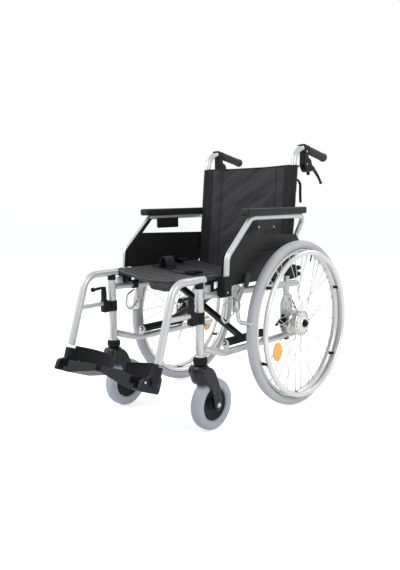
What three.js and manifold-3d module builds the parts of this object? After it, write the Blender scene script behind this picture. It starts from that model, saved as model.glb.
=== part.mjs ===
// A folding self-propelled wheelchair with attendant brakes, in millimetres, +Z up.
// The chair faces -Y, +X is its user's left. It stands on Z = 0, and the origin lies
// under the middle of its outline. The left half is drawn and the right half mirrors it.
import * as THREE from "three";
import { mergeVertices } from "three/addons/utils/BufferGeometryUtils.js";
import Module from "manifold-3d";

const wasm = await Module();
wasm.setup();

// Clearances and facets
const pieceGap = 0.4; // between two pieces that touch
const runningGap = 0.6; // between a shaft and what turns on it
const cutOver = 2; // how far a cut runs past the faces that it opens
const weldDepth = 2; // how far one part of a solid runs into the next
const tubeSides = 10;
const boreSides = 14;
const pinSides = 10;
const leverSides = 8;

// Side frame: every Y is measured from the rear axle, every X from the middle of the chair
const frameX = 213; // half the distance between the two side frames
const wheelbase = 472; // from the rear axle to the caster's swivel
const postY = -wheelbase;
const postRadius = 14;
const postTop = 490;
const housingTop = 257;
const housingRadius = 23.5;
const railRadius = 12;
const upperRailFrontZ = 455;
const upperRailDrop = 14; // from its front end to its rear end
const upperRailRearZ = upperRailFrontZ - upperRailDrop;
const lowerRailZ = 246;
const lowerRailRise = 39; // from its level run up to the front post
const lowerBendRun = 120; // from the front post back to the bend
const lowerBend = 60;
const caneRadius = 11;
const caneY = 25;
const caneFoot = 232;
const caneKinkZ = 440;
const caneLeanRun = 59; // how far the cane leans back between its kink and its top corner
const caneCornerY = caneY + caneLeanRun;
const caneCornerZ = 966;
const handleBend = 52;
const handleRun = 208; // from the top corner to the handle's end
const handleEndY = caneCornerY + handleRun;
const handleFallShare = 0.215; // how much the handle falls for each mm that it runs back
const gripLength = 135;
const gripRadius = 15.5;
const gripEndWall = 5;
const gripEndY = handleEndY + gripEndWall;
const gripStartY = gripEndY - gripLength;

// Rear wheel
const tyreRadius = 305;
const tyreWidth = 36;
const tyreDepth = 31;
const wheelOut = 71; // from the side frame's middle out to the wheel's
const wheelX = frameX + wheelOut;
const wheelSteps = 36;
const rimDepth = 15;
const rimWidth = 22;
const rimOuter = tyreRadius - tyreDepth - pieceGap;
const rimInner = rimOuter - rimDepth;
const handRimOut = 39; // from the wheel's middle out to the hand rim's
const handRimX = wheelX + handRimOut;
const handRimInset = 12; // how much smaller in radius the hand rim is than the rim
const handRimRadius = rimOuter - handRimInset;
const handRimTube = 9;
const standoffCount = 6;
const standoffRadius = 5;
const standoffInset = 6.5; // from the rim's outer edge
const standoffSides = 6;
const tyreSectionPoints = 8;
const handRimSectionPoints = 6;
const spokeCount = 36;
const spokeSides = 3;
const spokeRadius = 1.4;
const spokeStagger = 3;
const spokeHeadStep = 5; // between the heads that lean forwards and those that lean back
const spokeLean = THREE.MathUtils.degToRad(52);
const hubRadius = 47;
const hubHalfWidth = 18;
const hubSteps = 18;
const hubShoulderRadius = 33;
const hubShoulder = 4;
const hubNose = 10;
const hubNoseRadius = 20;
const flangeInset = 5;
const hubInnerX = wheelX - hubHalfWidth;
const hubOuterX = wheelX + hubHalfWidth;
const hubNoseX = hubOuterX + hubNose;
const axleRadius = 6;
const axleStand = 8; // past the hub's nose
const axleEndX = hubNoseX + axleStand;
const axleCollar = 12;
const buttonRadius = 7;
const buttonStand = 3.5;
const buttonDepth = 7;
const buttonTravel = 3;

// Axle plate and drum brake
const plateInnerX = frameX + caneRadius + pieceGap;
const plateThick = 6;
const plateAhead = 32; // from the axle
const plateBehind = 41;
const plateBelow = 43;
const plateAbove = 97;
const spareHoleRises = [37, 67]; // from the axle up to the spare holes
const spareHole = 6.5;
const receiverRadius = 13;
const drumGap = 1;
const drumThick = 7;
const drumRadius = 44;
const drumOuterX = hubInnerX - drumGap;
const drumInnerX = drumOuterX - drumThick;
const cableStopY = 31;
const cableStopHalf = 8;
const cableStopReach = 13;
const cableStopHeight = 13;

// Caster
const casterRadius = 87.5;
const casterTyreWidth = 46;
const casterTyreDepth = 34;
const casterSteps = 22;
const casterTrail = 52;
const casterHubWidth = 34;
const casterSeatGap = 0.5; // between the caster's rim and its tyre
const forkGap = 26; // from the middle of the wheel to the inside of a fork arm
const forkArm = 7;
const forkTop = 230;
const forkBridge = 181;
const casterBoltHead = 9;
const casterBoltProud = 4;
const casterBoltRadius = 6;
const stemRadius = 8;
const stemLength = 21;

// Folding brace
const braceInset = 8; // how far inside the side frame its pivots lie
const braceX = frameX - braceInset;
const bracePivotZ = 278;
const seatRailZ = 503;
const seatRailRadius = 11;
const seatRailStart = 31; // from the front post back to the rails' front ends
const seatRailLength = 423;
const seatRailFront = postY + seatRailStart;
const seatRailRear = seatRailFront + seatRailLength;
const sleeveRadius = 14;
const sleeveStart = 141; // from the front post
const sleeveLength = 212;
const sleeveFront = postY + sleeveStart;
const sleeveRear = sleeveFront + sleeveLength;
const barRadius = 12.5;
const barPlaneY = (sleeveFront + sleeveRear) / 2;
const barSpread = 26.5; // between the planes of the two bars
const lugThick = 6;
const lugHalf = 17;
const pivotPin = 6;
const pivotPinLength = 14;
const boltRadius = 5;
const boltHead = 10;
const saddleHalf = 14;
const saddleInset = 36; // from either end of a seat rail to its saddle
const saddleBelow = 3; // how far a saddle's top lies below the middle of the seat rail
const saddleTop = seatRailZ - saddleBelow;

// Legrest
const legTube = 12.5;
const legTopZ = 507;
const legStub = 20; // behind the swing pin
const legKneeRun = 115; // from the swing pin to the knee
const legFootRun = 77; // from the knee forward to the foot
const legDrop = 235;
const legKneeY = postY - legKneeRun;
const legFootY = legKneeY - legFootRun;
const legFootZ = legTopZ - legDrop;
const legKneeRadius = 62;
const legPin = 8;
const legPinDepth = 44;
const crossTube = 8;
const crossTubeDrop = 110; // below the top run
const crossTubeZ = legTopZ - crossTubeDrop;
const latchAhead = 48; // from the swing pin to the latch's front
const latchThick = 18;
const latchHeight = 80;
const latchFootHeight = 38;
const latchHalfWidth = 12;
const latchDrop = 61; // from the top run down to the latch's top
const latchFront = postY - latchAhead;
const latchTop = legTopZ - latchDrop;
const latchHub = 9;
const latchHubHeight = 12;
const latchHubInset = 9; // from the latch's front to the lever's pivot
const latchArm = 3.5;
const latchArmLength = 49;
const latchArmRise = 6;
const latchBall = 7;

// Footplate, in a frame that tips its toe up
const footTilt = THREE.MathUtils.degToRad(21);
const footCant = THREE.MathUtils.degToRad(3);
const footPivotInset = 47; // inside the side frame
const footPivotAhead = 26; // of the tube's foot
const footPivotDrop = 77; // below the tube's foot
const footPivotX = frameX - footPivotInset;
const footPivotY = legFootY - footPivotAhead;
const footPivotZ = legFootZ - footPivotDrop;
const footHalfDepth = 46;
const footTop = 30;
const footThick = 20; // at its inner end, where it is thinnest
const footLevelRun = 30; // how far its underside runs level before it rises
const footOuterGap = 14;
const footMiddleGap = 10.5; // from its inner edge to the middle of the chair
const hangerLow = 9; // below the hinge
const hangerHigh = 28; // above it
const hangerAhead = 50;
const hangerBehind = 30;
const hangerGap = 1; // from the raised footplate
const hangerInner = footTop + hangerGap;
const tongueHalf = 20;
const knuckleGap = 1;
const hingeBarrel = 9;
const hingePin = 4.5;
const sliderRadius = 14;
const strapHeight = 47;
const strapThick = 3;
const strapLeanShare = 0.33; // how much it leans back for each mm of height
const strapOuterInset = 10; // inside the side frame
const strapOuterDrop = 46; // below the tube's foot
const strapMiddleX = 118;
const strapBow = 43; // how far its middle bows back from its ends
const strapInnerX = 31;
const strapInnerDrop = 13; // below the footplate's hinge
const strapInnerBack = 54.2; // behind the footplate's hinge
const strapOuterBack = 2.2; // behind the tube's foot
const strapSteps = 8;

// Armrest
const armOut = 34; // from the side frame out to the armrest's tube
const armX = frameX + armOut;
const armTube = 10;
const armFootRun = 95; // from the front post
const armFootZ = 489;
const armLegLean = 7;
const armBendZ = 576;
const armSlopeRun = 132; // from the leg's bend up to the top run
const armTopZ = 700;
const armTopLength = 334;
const armBend = 42;
const armFootY = postY + armFootRun;
const armBendY = armFootY + armLegLean;
const armTopFrontY = armBendY + armSlopeRun;
const armTopRearY = armTopFrontY + armTopLength;
const armPivotBack = 37; // behind the cane's foot
const armPivotY = caneY + armPivotBack;
const armPivotZ = 560;
const armPivotBoss = 12;
const armRearOut = 3; // how far outside the side frame its rear leg stands
const armRearX = frameX + armRearOut;
const armRearLean = 6; // how far the rear leg leans forwards down to its kink
const armRearDrop = 72; // from the top run down to the kink
const armLugThick = 3.2; // the lug outside the rear leg
const armLugRoot = 11; // how far back the lug's thick root reaches
const armPivotPin = 5;
const padAhead = 35; // of the top run's front corner
const padLength = 361;
const padInner = 19; // from the armrest's tube inwards
const padOuter = 18;
const armBlockAhead = 35; // from the top run's front corner back to the block
const armBlockLength = 118;
const armBlockDrop = 38; // below the top run
const armBlockHalf = 9;
const padThick = 22;
const padEdge = 5;
const padEnd = 14; // the length of its rounded ends
const padFront = armTopFrontY - padAhead;
const padRear = padFront + padLength;
const panelOut = 17; // from the side frame
const panelThick = 4;
const panelInnerX = frameX + panelOut;
const panelLow = 506;
const panelSocketGap = 3;
const panelTopFrontZ = 642;
const panelTopRearZ = 630;
const panelRearInset = 12; // ahead of the top run's rear corner
const panelRearSlope = 21; // how far its rear edge leans back below its top
const panelHeelRun = 62;
const panelHeelZ = 590;
const panelBossRadius = 7;
const panelBossZs = [545, 615]; // where it is held to the armrest's front leg
const panelRearBossZ = 606; // where it is held to the rear leg
const panelRearBossInset = 14; // ahead of the top run's rear corner
const socketWall = 5;
const socketRoomAhead = 9;
const socketRoomBehind = 4;
const socketRise = 25; // above the foot of the armrest's front leg
const socketTop = armFootZ + socketRise;
const socketHeight = 67;
const socketDepth = 28;

// Attendant brake
const brakeHalf = 13.5;
const brakePivotY = 205;
const brakePivotZ = 876;
const brakeThroat = 24; // from front to back of the housing's neck
const brakeClampRear = gripStartY - gripRadius * handleFallShare - 2 * pieceGap;
const brakeFrontY = brakeClampRear - brakeThroat;
const brakeBoss = 8;
const brakePin = 3;
const leverSlot = 16;
const leverTube = 4.5;
const leverKneeReach = 40;
const leverKneeFall = 21;
const leverReach = 64;
const leverFall = 48;
const leverBall = 7;
const cableRadius = 2.5;
const cableSteps = 26;
const cableSides = 6;
const cableStartRise = 14; // above the lever's pivot
const cableBendZs = [876, 850, 820]; // on its way down to the cane
const cableBendBehind = [32, 21.5, 19.5]; // behind the cane's middle there
const cableInward = 7; // how far it has moved inwards at the first of them
const cableClipZs = [760, 640, 520]; // where it lies beside the cane
const cableFall = 42; // from the cane's kink to where it crosses outwards
const cableSideStep = 18;
const cableHigh = 51;
const cableSideIn = 3;
const cableLow = 21;

// Wheel lock
const lockOut = 19; // from the side frame out to its plate
const lockPlateThick = 6;
const lockPivotAhead = 13; // of the tyre's foremost point
const lockPivotRise = 90; // above the axle
const lockPlateDepth = 66;
const lockPlateHeight = 126;
const lockPivotBoss = 12;
const lockBladeHalf = 9;
const lockPin = 5;
const lockPinLength = 14;
const lockLeverThick = 9;
const lockGripOut = 32;
const lockInnerX = frameX + lockOut;
const lockPivotY = -tyreRadius - lockPivotAhead;
const lockPivotZ = tyreRadius + lockPivotRise;
const shoeRadius = 7;
const shoeGap = 0.6; // from the tyre
const shoeAngle = THREE.MathUtils.degToRad(8.1); // above the axle, seen from the side
const shoeShort = 2; // short of the tyre's outer side
const lockGripRadius = 9;
const lockGripBack = 46; // from the pivot to the grip's foot
const lockGripLean = 11;
const lockGripRise = 105; // from the pivot up to the grip's foot
const lockGripLength = 52;

// Upholstery
const clothThick = 4;
const seatSag = 22;
const seatMiddleSag = 4; // how much deeper the seat hangs half way back
const seatAhead = 3; // past the rails' front ends
const seatShort = 4; // short of their rear ends
const seatSteps = 10;
const seatRows = 9;
const seatFoldHeight = 1.5;
const seatFolds = 3;
const seatFront = seatRailFront - seatAhead;
const seatRear = seatRailRear - seatShort;
const seatWrap = seatRailRadius + pieceGap;
const seatWrapFrom = THREE.MathUtils.degToRad(112);
const seatWrapSteps = 4;
const flapDrop = 39;
const flapHalf = 72;
const flapSteps = 8;
const flapWave = 2.5;
const flapWaves = 2;
const backSag = 24;
const backTopTightness = 6; // how much less the back bows at its top edge
const backFaceShare = 0.7; // how far forward on the cane the back's cloth lies
const backFoldHeight = 3;
const backFolds = 2;
const backLow = 512;
const backTop = 887;
const backSteps = 10;
const backRows = 9;
const sleeveWall = 3.5;
const beltWidth = 48;
const beltThick = 3;
const beltBack = 179; // from the seat's rail ends
const beltY = seatRailFront + beltBack;
const beltHalf = 193;
const beltSteps = 36;
const archWidth = 88;
const archHeight = 64;
const buckleLength = 52;
const buckleThick = 13;

// The middle of the outline: half way from the footplates' toes to the back of the tyres
const toeAhead = 50; // of the footplate's hinge
const middleY = (footPivotY - toeAhead + tyreRadius) / 2;

const colours = {
  silver: 0xb9bbbd,
  black: 0x1b1c1d,
  plastic: 0x26282b,
  fork: 0x2c333c,
  tyre: 0x9ea6ad,
  cloth: 0x3b393c,
  steel: 0xc8c9c8,
};

function material(colour, roughness, metalness) {
  return new THREE.MeshStandardMaterial({ color: colours[colour], roughness, metalness });
}

// Turns a geometry's faces outwards, whichever way its outline was drawn.
function outward(geometry) {
  const shape = geometry.clone();
  shape.deleteAttribute("normal");
  shape.deleteAttribute("uv");
  const merged = mergeVertices(shape, pieceGap / 400);
  const place = merged.attributes.position;
  const order = merged.index.array;
  const a = new THREE.Vector3();
  const b = new THREE.Vector3();
  const c = new THREE.Vector3();
  let volume = 0;
  for (let i = 0; i < order.length; i += 3) {
    a.fromBufferAttribute(place, order[i]);
    b.fromBufferAttribute(place, order[i + 1]);
    c.fromBufferAttribute(place, order[i + 2]);
    volume += a.dot(b.cross(c));
  }
  if (volume < 0) {
    for (let i = 0; i < order.length; i += 3) {
      const second = order[i + 1];
      order[i + 1] = order[i + 2];
      order[i + 2] = second;
    }
  }
  return merged;
}

function toSolid(geometry) {
  const faced = outward(geometry);
  const vertProperties = new Float32Array(faced.attributes.position.array);
  const triVerts = new Uint32Array(faced.index.array);
  return new wasm.Manifold(new wasm.Mesh({ numProp: 3, vertProperties, triVerts }));
}

function fromSolid(solid) {
  const mesh = solid.getMesh();
  const geometry = new THREE.BufferGeometry();
  const place = new Float32Array(mesh.vertProperties);
  geometry.setAttribute("position", new THREE.BufferAttribute(place, 3));
  geometry.setIndex(new THREE.BufferAttribute(new Uint32Array(mesh.triVerts), 1));
  return geometry.toNonIndexed();
}

function joined(geometries) {
  const solids = geometries.map(toSolid);
  return fromSolid(solids.reduce((whole, next) => whole.add(next)));
}

function cutFrom(geometry, tools) {
  const solids = tools.map(toSolid);
  return fromSolid(solids.reduce((whole, tool) => whole.subtract(tool), toSolid(geometry)));
}

// A tube's route: straight runs between corners, each corner rounded with an arc.
class BentRoute extends THREE.Curve {
  constructor(corners, bend, arcSteps = 4) {
    super();
    this.stations = [{ point: corners[0], tangent: corners[1].clone().sub(corners[0]).normalize() }];
    for (let i = 1; i < corners.length - 1; i += 1) {
      this.addBend(corners[i - 1], corners[i], corners[i + 1], bend, arcSteps);
    }
    const last = corners[corners.length - 1];
    const before = corners[corners.length - 2];
    this.stations.push({ point: last, tangent: last.clone().sub(before).normalize() });
  }

  addBend(before, corner, after, bend, arcSteps) {
    const into = corner.clone().sub(before).normalize();
    const out = after.clone().sub(corner).normalize();
    const turn = into.angleTo(out);
    const reach = bend * Math.tan(turn / 2);
    const axis = into.clone().cross(out).normalize();
    const start = corner.clone().addScaledVector(into, -reach);
    const toCentre = axis.clone().cross(into).multiplyScalar(bend);
    const centre = start.clone().add(toCentre);
    for (let i = 0; i <= arcSteps; i += 1) {
      const angle = (turn * i) / arcSteps;
      const point = start.clone().sub(centre).applyAxisAngle(axis, angle).add(centre);
      this.stations.push({ point, tangent: into.clone().applyAxisAngle(axis, angle) });
    }
  }

  get steps() {
    return this.stations.length - 1;
  }

  getPoint(t) {
    return this.stations[Math.round(t * this.steps)].point.clone();
  }

  getPointAt(u) {
    return this.getPoint(u);
  }

  getTangentAt(u) {
    return this.stations[Math.round(u * this.steps)].tangent.clone();
  }
}

function circleShape(radius, sides) {
  const points = [];
  for (let i = 0; i < sides; i += 1) {
    const angle = (2 * Math.PI * (i + 0.5)) / sides;
    points.push(new THREE.Vector2(radius * Math.cos(angle), radius * Math.sin(angle)));
  }
  return new THREE.Shape(points);
}

function tubeAlong(route, radius, sides = tubeSides) {
  const shape = circleShape(radius, sides);
  return new THREE.ExtrudeGeometry(shape, { steps: route.steps, extrudePath: route });
}

function bentTube(corners, bend, radius, sides = tubeSides) {
  return tubeAlong(new BentRoute(corners.map((c) => new THREE.Vector3(...c)), bend), radius, sides);
}

// A plain cylinder between two points.
function rod(from, to, radius, sides = tubeSides) {
  const start = new THREE.Vector3(...from);
  const end = new THREE.Vector3(...to);
  const run = end.clone().sub(start);
  const geometry = new THREE.CylinderGeometry(radius, radius, run.length(), sides);
  const up = new THREE.Vector3(0, 1, 0);
  geometry.applyQuaternion(new THREE.Quaternion().setFromUnitVectors(up, run.normalize()));
  const middle = start.add(end).multiplyScalar(0.5);
  return geometry.translate(middle.x, middle.y, middle.z);
}

function ball(centre, radius) {
  return new THREE.SphereGeometry(radius, pinSides, 6).translate(...centre);
}

function block(low, high) {
  const size = high.map((value, i) => value - low[i]);
  const middle = high.map((value, i) => (value + low[i]) / 2);
  return new THREE.BoxGeometry(...size).translate(...middle);
}

function outline(points) {
  return new THREE.Shape(points.map(([u, v]) => new THREE.Vector2(u, v)));
}

// A flat plate whose outline is drawn in Y and Z, from one X to another.
function plateAcross(points, fromX, toX) {
  const geometry = new THREE.ExtrudeGeometry(outline(points), { depth: toX - fromX, bevelEnabled: false });
  const turn = new THREE.Matrix4().makeBasis(
    new THREE.Vector3(0, 1, 0),
    new THREE.Vector3(0, 0, 1),
    new THREE.Vector3(1, 0, 0),
  );
  return geometry.applyMatrix4(turn).translate(fromX, 0, 0);
}

// A flat plate whose outline is drawn in X and Z, from one Y to another.
function plateAlong(points, fromY, toY) {
  const geometry = new THREE.ExtrudeGeometry(outline(points), { depth: toY - fromY, bevelEnabled: false });
  return geometry.rotateX(Math.PI / 2).translate(0, toY, 0);
}

// A ring turned about the X axis from points of radius and x.
function turned(profile, steps) {
  const points = profile.map(([radius, x]) => new THREE.Vector2(radius, x));
  points.push(points[0].clone());
  const geometry = new THREE.LatheGeometry(points, steps);
  const turn = new THREE.Matrix4().makeBasis(
    new THREE.Vector3(0, -1, 0),
    new THREE.Vector3(1, 0, 0),
    new THREE.Vector3(0, 0, 1),
  );
  return geometry.applyMatrix4(turn);
}

// A closed skin through a row of outlines, capped at both ends.
function lofted(loops, flatten) {
  const count = loops[0].length;
  const faces = [];
  for (let i = 0; i + 1 < loops.length; i += 1) {
    for (let j = 0; j < count; j += 1) {
      const here = i * count + j;
      const next = i * count + ((j + 1) % count);
      faces.push(here, next, next + count, here, next + count, here + count);
    }
  }
  faces.push(...capFaces(loops[0].map(flatten), -1, 0));
  faces.push(...capFaces(loops[loops.length - 1].map(flatten), 1, (loops.length - 1) * count));
  const geometry = new THREE.BufferGeometry();
  const places = new Float32Array(loops.flat(2));
  geometry.setAttribute("position", new THREE.BufferAttribute(places, 3));
  geometry.setIndex(faces);
  return geometry;
}

function capFaces(flat, way, offset) {
  const round = Math.sign(THREE.ShapeUtils.area(flat)) * way;
  const triangles = THREE.ShapeUtils.triangulateShape(flat, []);
  return triangles.flatMap(([a, b, c]) => {
    const turn = Math.sign(THREE.ShapeUtils.area([flat[a], flat[b], flat[c]]));
    return (turn * round > 0 ? [a, b, c] : [a, c, b]).map((corner) => corner + offset);
  });
}

function inXZ([x, , z]) {
  return new THREE.Vector2(x, z);
}

function inXY([x, y]) {
  return new THREE.Vector2(x, y);
}

// The round section of a tyre or rim tube, as points of radius and x.
function ovalSection(middleRadius, middleX, halfDepth, halfWidth, count) {
  const points = [];
  for (let i = 0; i < count; i += 1) {
    const angle = (2 * Math.PI * i) / count;
    points.push([middleRadius + halfDepth * Math.cos(angle), middleX + halfWidth * Math.sin(angle)]);
  }
  return points;
}

function piece(group, name, geometry, finish) {
  const mesh = new THREE.Mesh(outward(geometry), finish);
  mesh.name = name;
  group.add(mesh);
  return mesh;
}

// The handle's fall gives its height at any distance back.
function handleZ(y) {
  return caneCornerZ - (y - caneCornerY) * handleFallShare;
}

function caneYAt(z) {
  return caneY + ((z - caneKinkZ) * (caneCornerY - caneY)) / (caneCornerZ - caneKinkZ);
}

function caneCorners(endY) {
  return [
    [frameX, caneY, caneFoot],
    [frameX, caneY, caneKinkZ],
    [frameX, caneCornerY, caneCornerZ],
    [frameX, endY, handleZ(endY)],
  ];
}

function frontPost() {
  const tube = rod([frameX, postY, housingTop - weldDepth], [frameX, postY, postTop], postRadius);
  const housing = rod(
    [frameX, postY, forkTop + runningGap],
    [frameX, postY, housingTop],
    housingRadius,
    boreSides,
  );
  const pinBore = rod(
    [frameX, postY, postTop - legPinDepth - cutOver],
    [frameX, postY, postTop + cutOver],
    legPin + runningGap,
  );
  const stemBore = rod(
    [frameX, postY, forkTop - cutOver],
    [frameX, postY, forkTop + stemLength + cutOver],
    stemRadius + runningGap,
  );
  return cutFrom(joined([tube, housing]), [pinBore, stemBore]);
}

function postCut() {
  const bore = postRadius + pieceGap;
  return rod([frameX, postY, lowerRailZ], [frameX, postY, postTop], bore, boreSides);
}

function caneCut() {
  return bentTube(caneCorners(handleEndY), handleBend, caneRadius + pieceGap, boreSides);
}

function upperRail() {
  const front = [frameX, postY, upperRailFrontZ];
  const rear = [frameX, caneY, upperRailRearZ];
  const saddles = [seatRailFront + saddleInset, seatRailRear - saddleInset].map((y) =>
    block(
      [braceX - saddleHalf, y - saddleHalf, upperRailRearZ],
      [braceX + saddleHalf, y + saddleHalf, saddleTop],
    ),
  );
  const seatRailCut = rod(
    [braceX, seatRailFront, seatRailZ],
    [braceX, seatRailRear, seatRailZ],
    seatRailRadius + pieceGap,
    boreSides,
  );
  return cutFrom(joined([rod(front, rear, railRadius), ...saddles]), [postCut(), caneCut(), seatRailCut]);
}

function lowerRail() {
  const rail = bentTube(
    [
      [frameX, postY, lowerRailZ + lowerRailRise],
      [frameX, postY + lowerBendRun, lowerRailZ],
      [frameX, caneY, lowerRailZ],
    ],
    lowerBend,
    railRadius,
  );
  const lugTop = bracePivotZ + lugHalf - lugThick;
  const lugOutline = [
    [braceX - lugHalf, bracePivotZ],
    [braceX - lugHalf / 2, lugTop],
    [braceX + lugHalf / 2, lugTop],
    [braceX + lugHalf, bracePivotZ],
    [frameX + railRadius / 2, lowerRailZ],
    [frameX - railRadius / 2, lowerRailZ],
  ];
  const parts = [rail];
  for (const [face, away] of [[sleeveFront, -1], [sleeveRear, 1]]) {
    const near = face + away * pieceGap;
    const far = near + away * lugThick;
    const inside = face - away * pivotPinLength;
    parts.push(plateAlong(lugOutline, Math.min(near, far), Math.max(near, far)));
    parts.push(rod([braceX, far, bracePivotZ], [braceX, inside, bracePivotZ], pivotPin, pinSides));
  }
  return cutFrom(joined(parts), [postCut(), caneCut()]);
}

function backCane() {
  const cane = bentTube(caneCorners(handleEndY - gripEndWall), handleBend, caneRadius);
  const caneAtPivot = caneYAt(armPivotZ);
  const lugOuter = panelInnerX - pieceGap;
  const root = block(
    [frameX + caneRadius / 2, caneAtPivot, armPivotZ - armTube],
    [lugOuter, caneAtPivot + armLugRoot, armPivotZ + armTube],
  );
  const lug = block(
    [lugOuter - armLugThick, caneAtPivot, armPivotZ - armTube],
    [lugOuter, armPivotY + 2 * armPivotPin, armPivotZ + armTube],
  );
  const pin = rod(
    [lugOuter - armLugThick / 2, armPivotY, armPivotZ],
    [armRearX - armTube, armPivotY, armPivotZ],
    armPivotPin,
    pinSides,
  );
  return joined([cane, root, lug, pin]);
}

function pushGrip() {
  const start = [frameX, gripStartY, handleZ(gripStartY)];
  const end = [frameX, gripEndY, handleZ(gripEndY)];
  const boreEndY = handleEndY - gripEndWall + pieceGap;
  const boreStartY = gripStartY - cutOver;
  const boreEnd = [frameX, boreEndY, handleZ(boreEndY)];
  const boreStart = [frameX, boreStartY, handleZ(boreStartY)];
  const bore = rod(boreStart, boreEnd, caneRadius + pieceGap, boreSides);
  return cutFrom(rod(start, end, gripRadius, boreSides), [bore]);
}

function brakeHousing() {
  const inner = frameX - brakeHalf;
  const outer = frameX + brakeHalf;
  const clampTop = handleZ(gripStartY) + gripRadius + pieceGap;
  const bodyTop = handleZ(brakePivotY) - gripRadius - 4 * pieceGap - caneRadius / 2;
  const body = plateAcross(
    [
      [brakeFrontY, clampTop + caneRadius / 2],
      [brakeClampRear, clampTop],
      [brakeClampRear, bodyTop],
      [brakePivotY, bodyTop - caneRadius],
      [brakePivotY + brakeBoss, brakePivotZ],
      [brakePivotY, brakePivotZ - brakeBoss],
      [brakeClampRear, brakePivotZ - 2 * brakeBoss],
      [brakeFrontY + caneRadius, brakePivotZ - brakeBoss],
      [brakeFrontY, brakePivotZ + brakeBoss],
    ],
    inner,
    outer,
  );
  const slot = block(
    [frameX - leverSlot / 2, brakePivotY - 2 * brakeBoss, brakePivotZ - 3 * brakeBoss],
    [frameX + leverSlot / 2, brakePivotY + 2 * brakeBoss, brakePivotZ + 2 * brakeBoss],
  );
  const pin = rod([inner, brakePivotY, brakePivotZ], [outer, brakePivotY, brakePivotZ], brakePin, pinSides);
  return joined([cutFrom(body, [slot, caneCut()]), pin]);
}

function brakeLever() {
  const half = leverSlot / 2 - pieceGap;
  const boss = rod(
    [frameX - half, brakePivotY, brakePivotZ],
    [frameX + half, brakePivotY, brakePivotZ],
    brakeBoss,
  );
  const tip = [frameX, brakePivotY + leverReach, brakePivotZ - leverFall];
  const knee = [frameX, brakePivotY + leverKneeReach, brakePivotZ - leverKneeFall];
  const arm = bentTube([[frameX, brakePivotY, brakePivotZ], knee, tip], handleBend, leverTube, leverSides);
  const bore = rod(
    [frameX - leverSlot, brakePivotY, brakePivotZ],
    [frameX + leverSlot, brakePivotY, brakePivotZ],
    brakePin + runningGap,
    pinSides,
  );
  return cutFrom(joined([boss, arm, ball(tip, leverBall)]), [bore]);
}

// The cable's route from the hand brake, down behind the cane, to the drum.
function cableRoute() {
  const besideX = frameX - caneRadius;
  const behind = caneRadius + sleeveWall + 2 * cableRadius;
  const startZ = brakePivotZ + cableStartRise;
  const fromBrake = cableBendZs.map((z, i) => [
    i > 0 ? besideX : frameX - cableInward,
    caneYAt(z) + cableBendBehind[i],
    z,
  ]);
  const besideCane = cableClipZs.map((z) => [besideX, caneYAt(z) + behind, z]);
  const stopTop = tyreRadius + cableRadius / 2;
  const places = [
    [frameX - cableRadius, brakeFrontY - pieceGap, startZ],
    [frameX - cableRadius, brakeFrontY - 2 * cableRadius - pieceGap, startZ],
    ...fromBrake,
    ...besideCane,
    [besideX, caneY + behind, caneKinkZ],
    [frameX, caneY + behind + cableRadius, caneKinkZ - cableFall],
    [drumInnerX - cableSideStep, caneY + behind, tyreRadius + cableHigh],
    [drumInnerX - cableStopReach + cableSideIn, cableStopY + cableStopReach, tyreRadius + cableLow],
    [drumInnerX - cableStopReach / 2, cableStopY, stopTop],
  ];
  return new THREE.CatmullRomCurve3(places.map((p) => new THREE.Vector3(...p)), false, "catmullrom", 0.5);
}

function brakeCable() {
  const shape = circleShape(cableRadius, cableSides);
  return new THREE.ExtrudeGeometry(shape, { steps: cableSteps, extrudePath: cableRoute() });
}

function axleBracket() {
  const outer = plateInnerX + plateThick;
  const low = tyreRadius - plateBelow;
  const high = tyreRadius + plateAbove;
  const plate = plateAcross(
    [
      [-plateAhead, low + receiverRadius],
      [receiverRadius - plateAhead, low],
      [plateBehind, low],
      [plateBehind, high],
      [-receiverRadius, high],
      [-plateAhead, high - 2 * receiverRadius],
    ],
    plateInnerX,
    outer,
  );
  const axleStart = [plateInnerX, 0, tyreRadius];
  const receiver = rod(axleStart, [drumInnerX + weldDepth, 0, tyreRadius], receiverRadius, boreSides);
  const drum = rod([drumInnerX, 0, tyreRadius], [drumOuterX, 0, tyreRadius], drumRadius, hubSteps);
  const axle = rod(axleStart, [axleEndX, 0, tyreRadius], axleRadius);
  const collar = rod([hubNoseX + pieceGap, 0, tyreRadius], [axleEndX, 0, tyreRadius], axleCollar, boreSides);
  const stop = block(
    [drumInnerX - cableStopReach, cableStopY - cableStopHalf, tyreRadius - cableStopHeight],
    [drumInnerX + weldDepth, cableStopY + cableStopHalf, tyreRadius - pieceGap],
  );
  const buttonBore = rod(
    [axleEndX + buttonStand - buttonDepth - buttonTravel - pieceGap, 0, tyreRadius],
    [axleEndX + cutOver, 0, tyreRadius],
    buttonRadius + runningGap,
  );
  const holes = spareHoleRises.map((rise) =>
    rod([plateInnerX - cutOver, 0, tyreRadius + rise], [outer + cutOver, 0, tyreRadius + rise], spareHole),
  );
  return cutFrom(joined([plate, receiver, drum, axle, collar, stop]), [...holes, buttonBore]);
}

function releaseButton() {
  const end = axleEndX + buttonStand;
  return rod([end - buttonDepth, 0, tyreRadius], [end, 0, tyreRadius], buttonRadius);
}

function armrestSocket() {
  const inner = frameX + railRadius + pieceGap;
  const outer = armX + armTube + pieceGap + socketWall;
  const roomFront = armFootY - armTube - socketRoomAhead;
  const roomRear = armFootY + armTube + socketRoomBehind;
  const whole = block(
    [inner, roomFront - socketWall, socketTop - socketHeight],
    [outer, roomRear + socketWall, socketTop],
  );
  const recess = block(
    [armX - armTube - pieceGap, roomFront, socketTop - socketDepth],
    [armX + armTube + pieceGap, roomRear, socketTop + cutOver],
  );
  return cutFrom(whole, [recess]);
}

// An outline table turned into places: shares of a size behind and above a middle.
function scaledOutline(shares, middleU, middleV, sizeU, sizeV) {
  return shares.map(([u, v]) => [middleU + u * sizeU, middleV + v * sizeV]);
}

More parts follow.
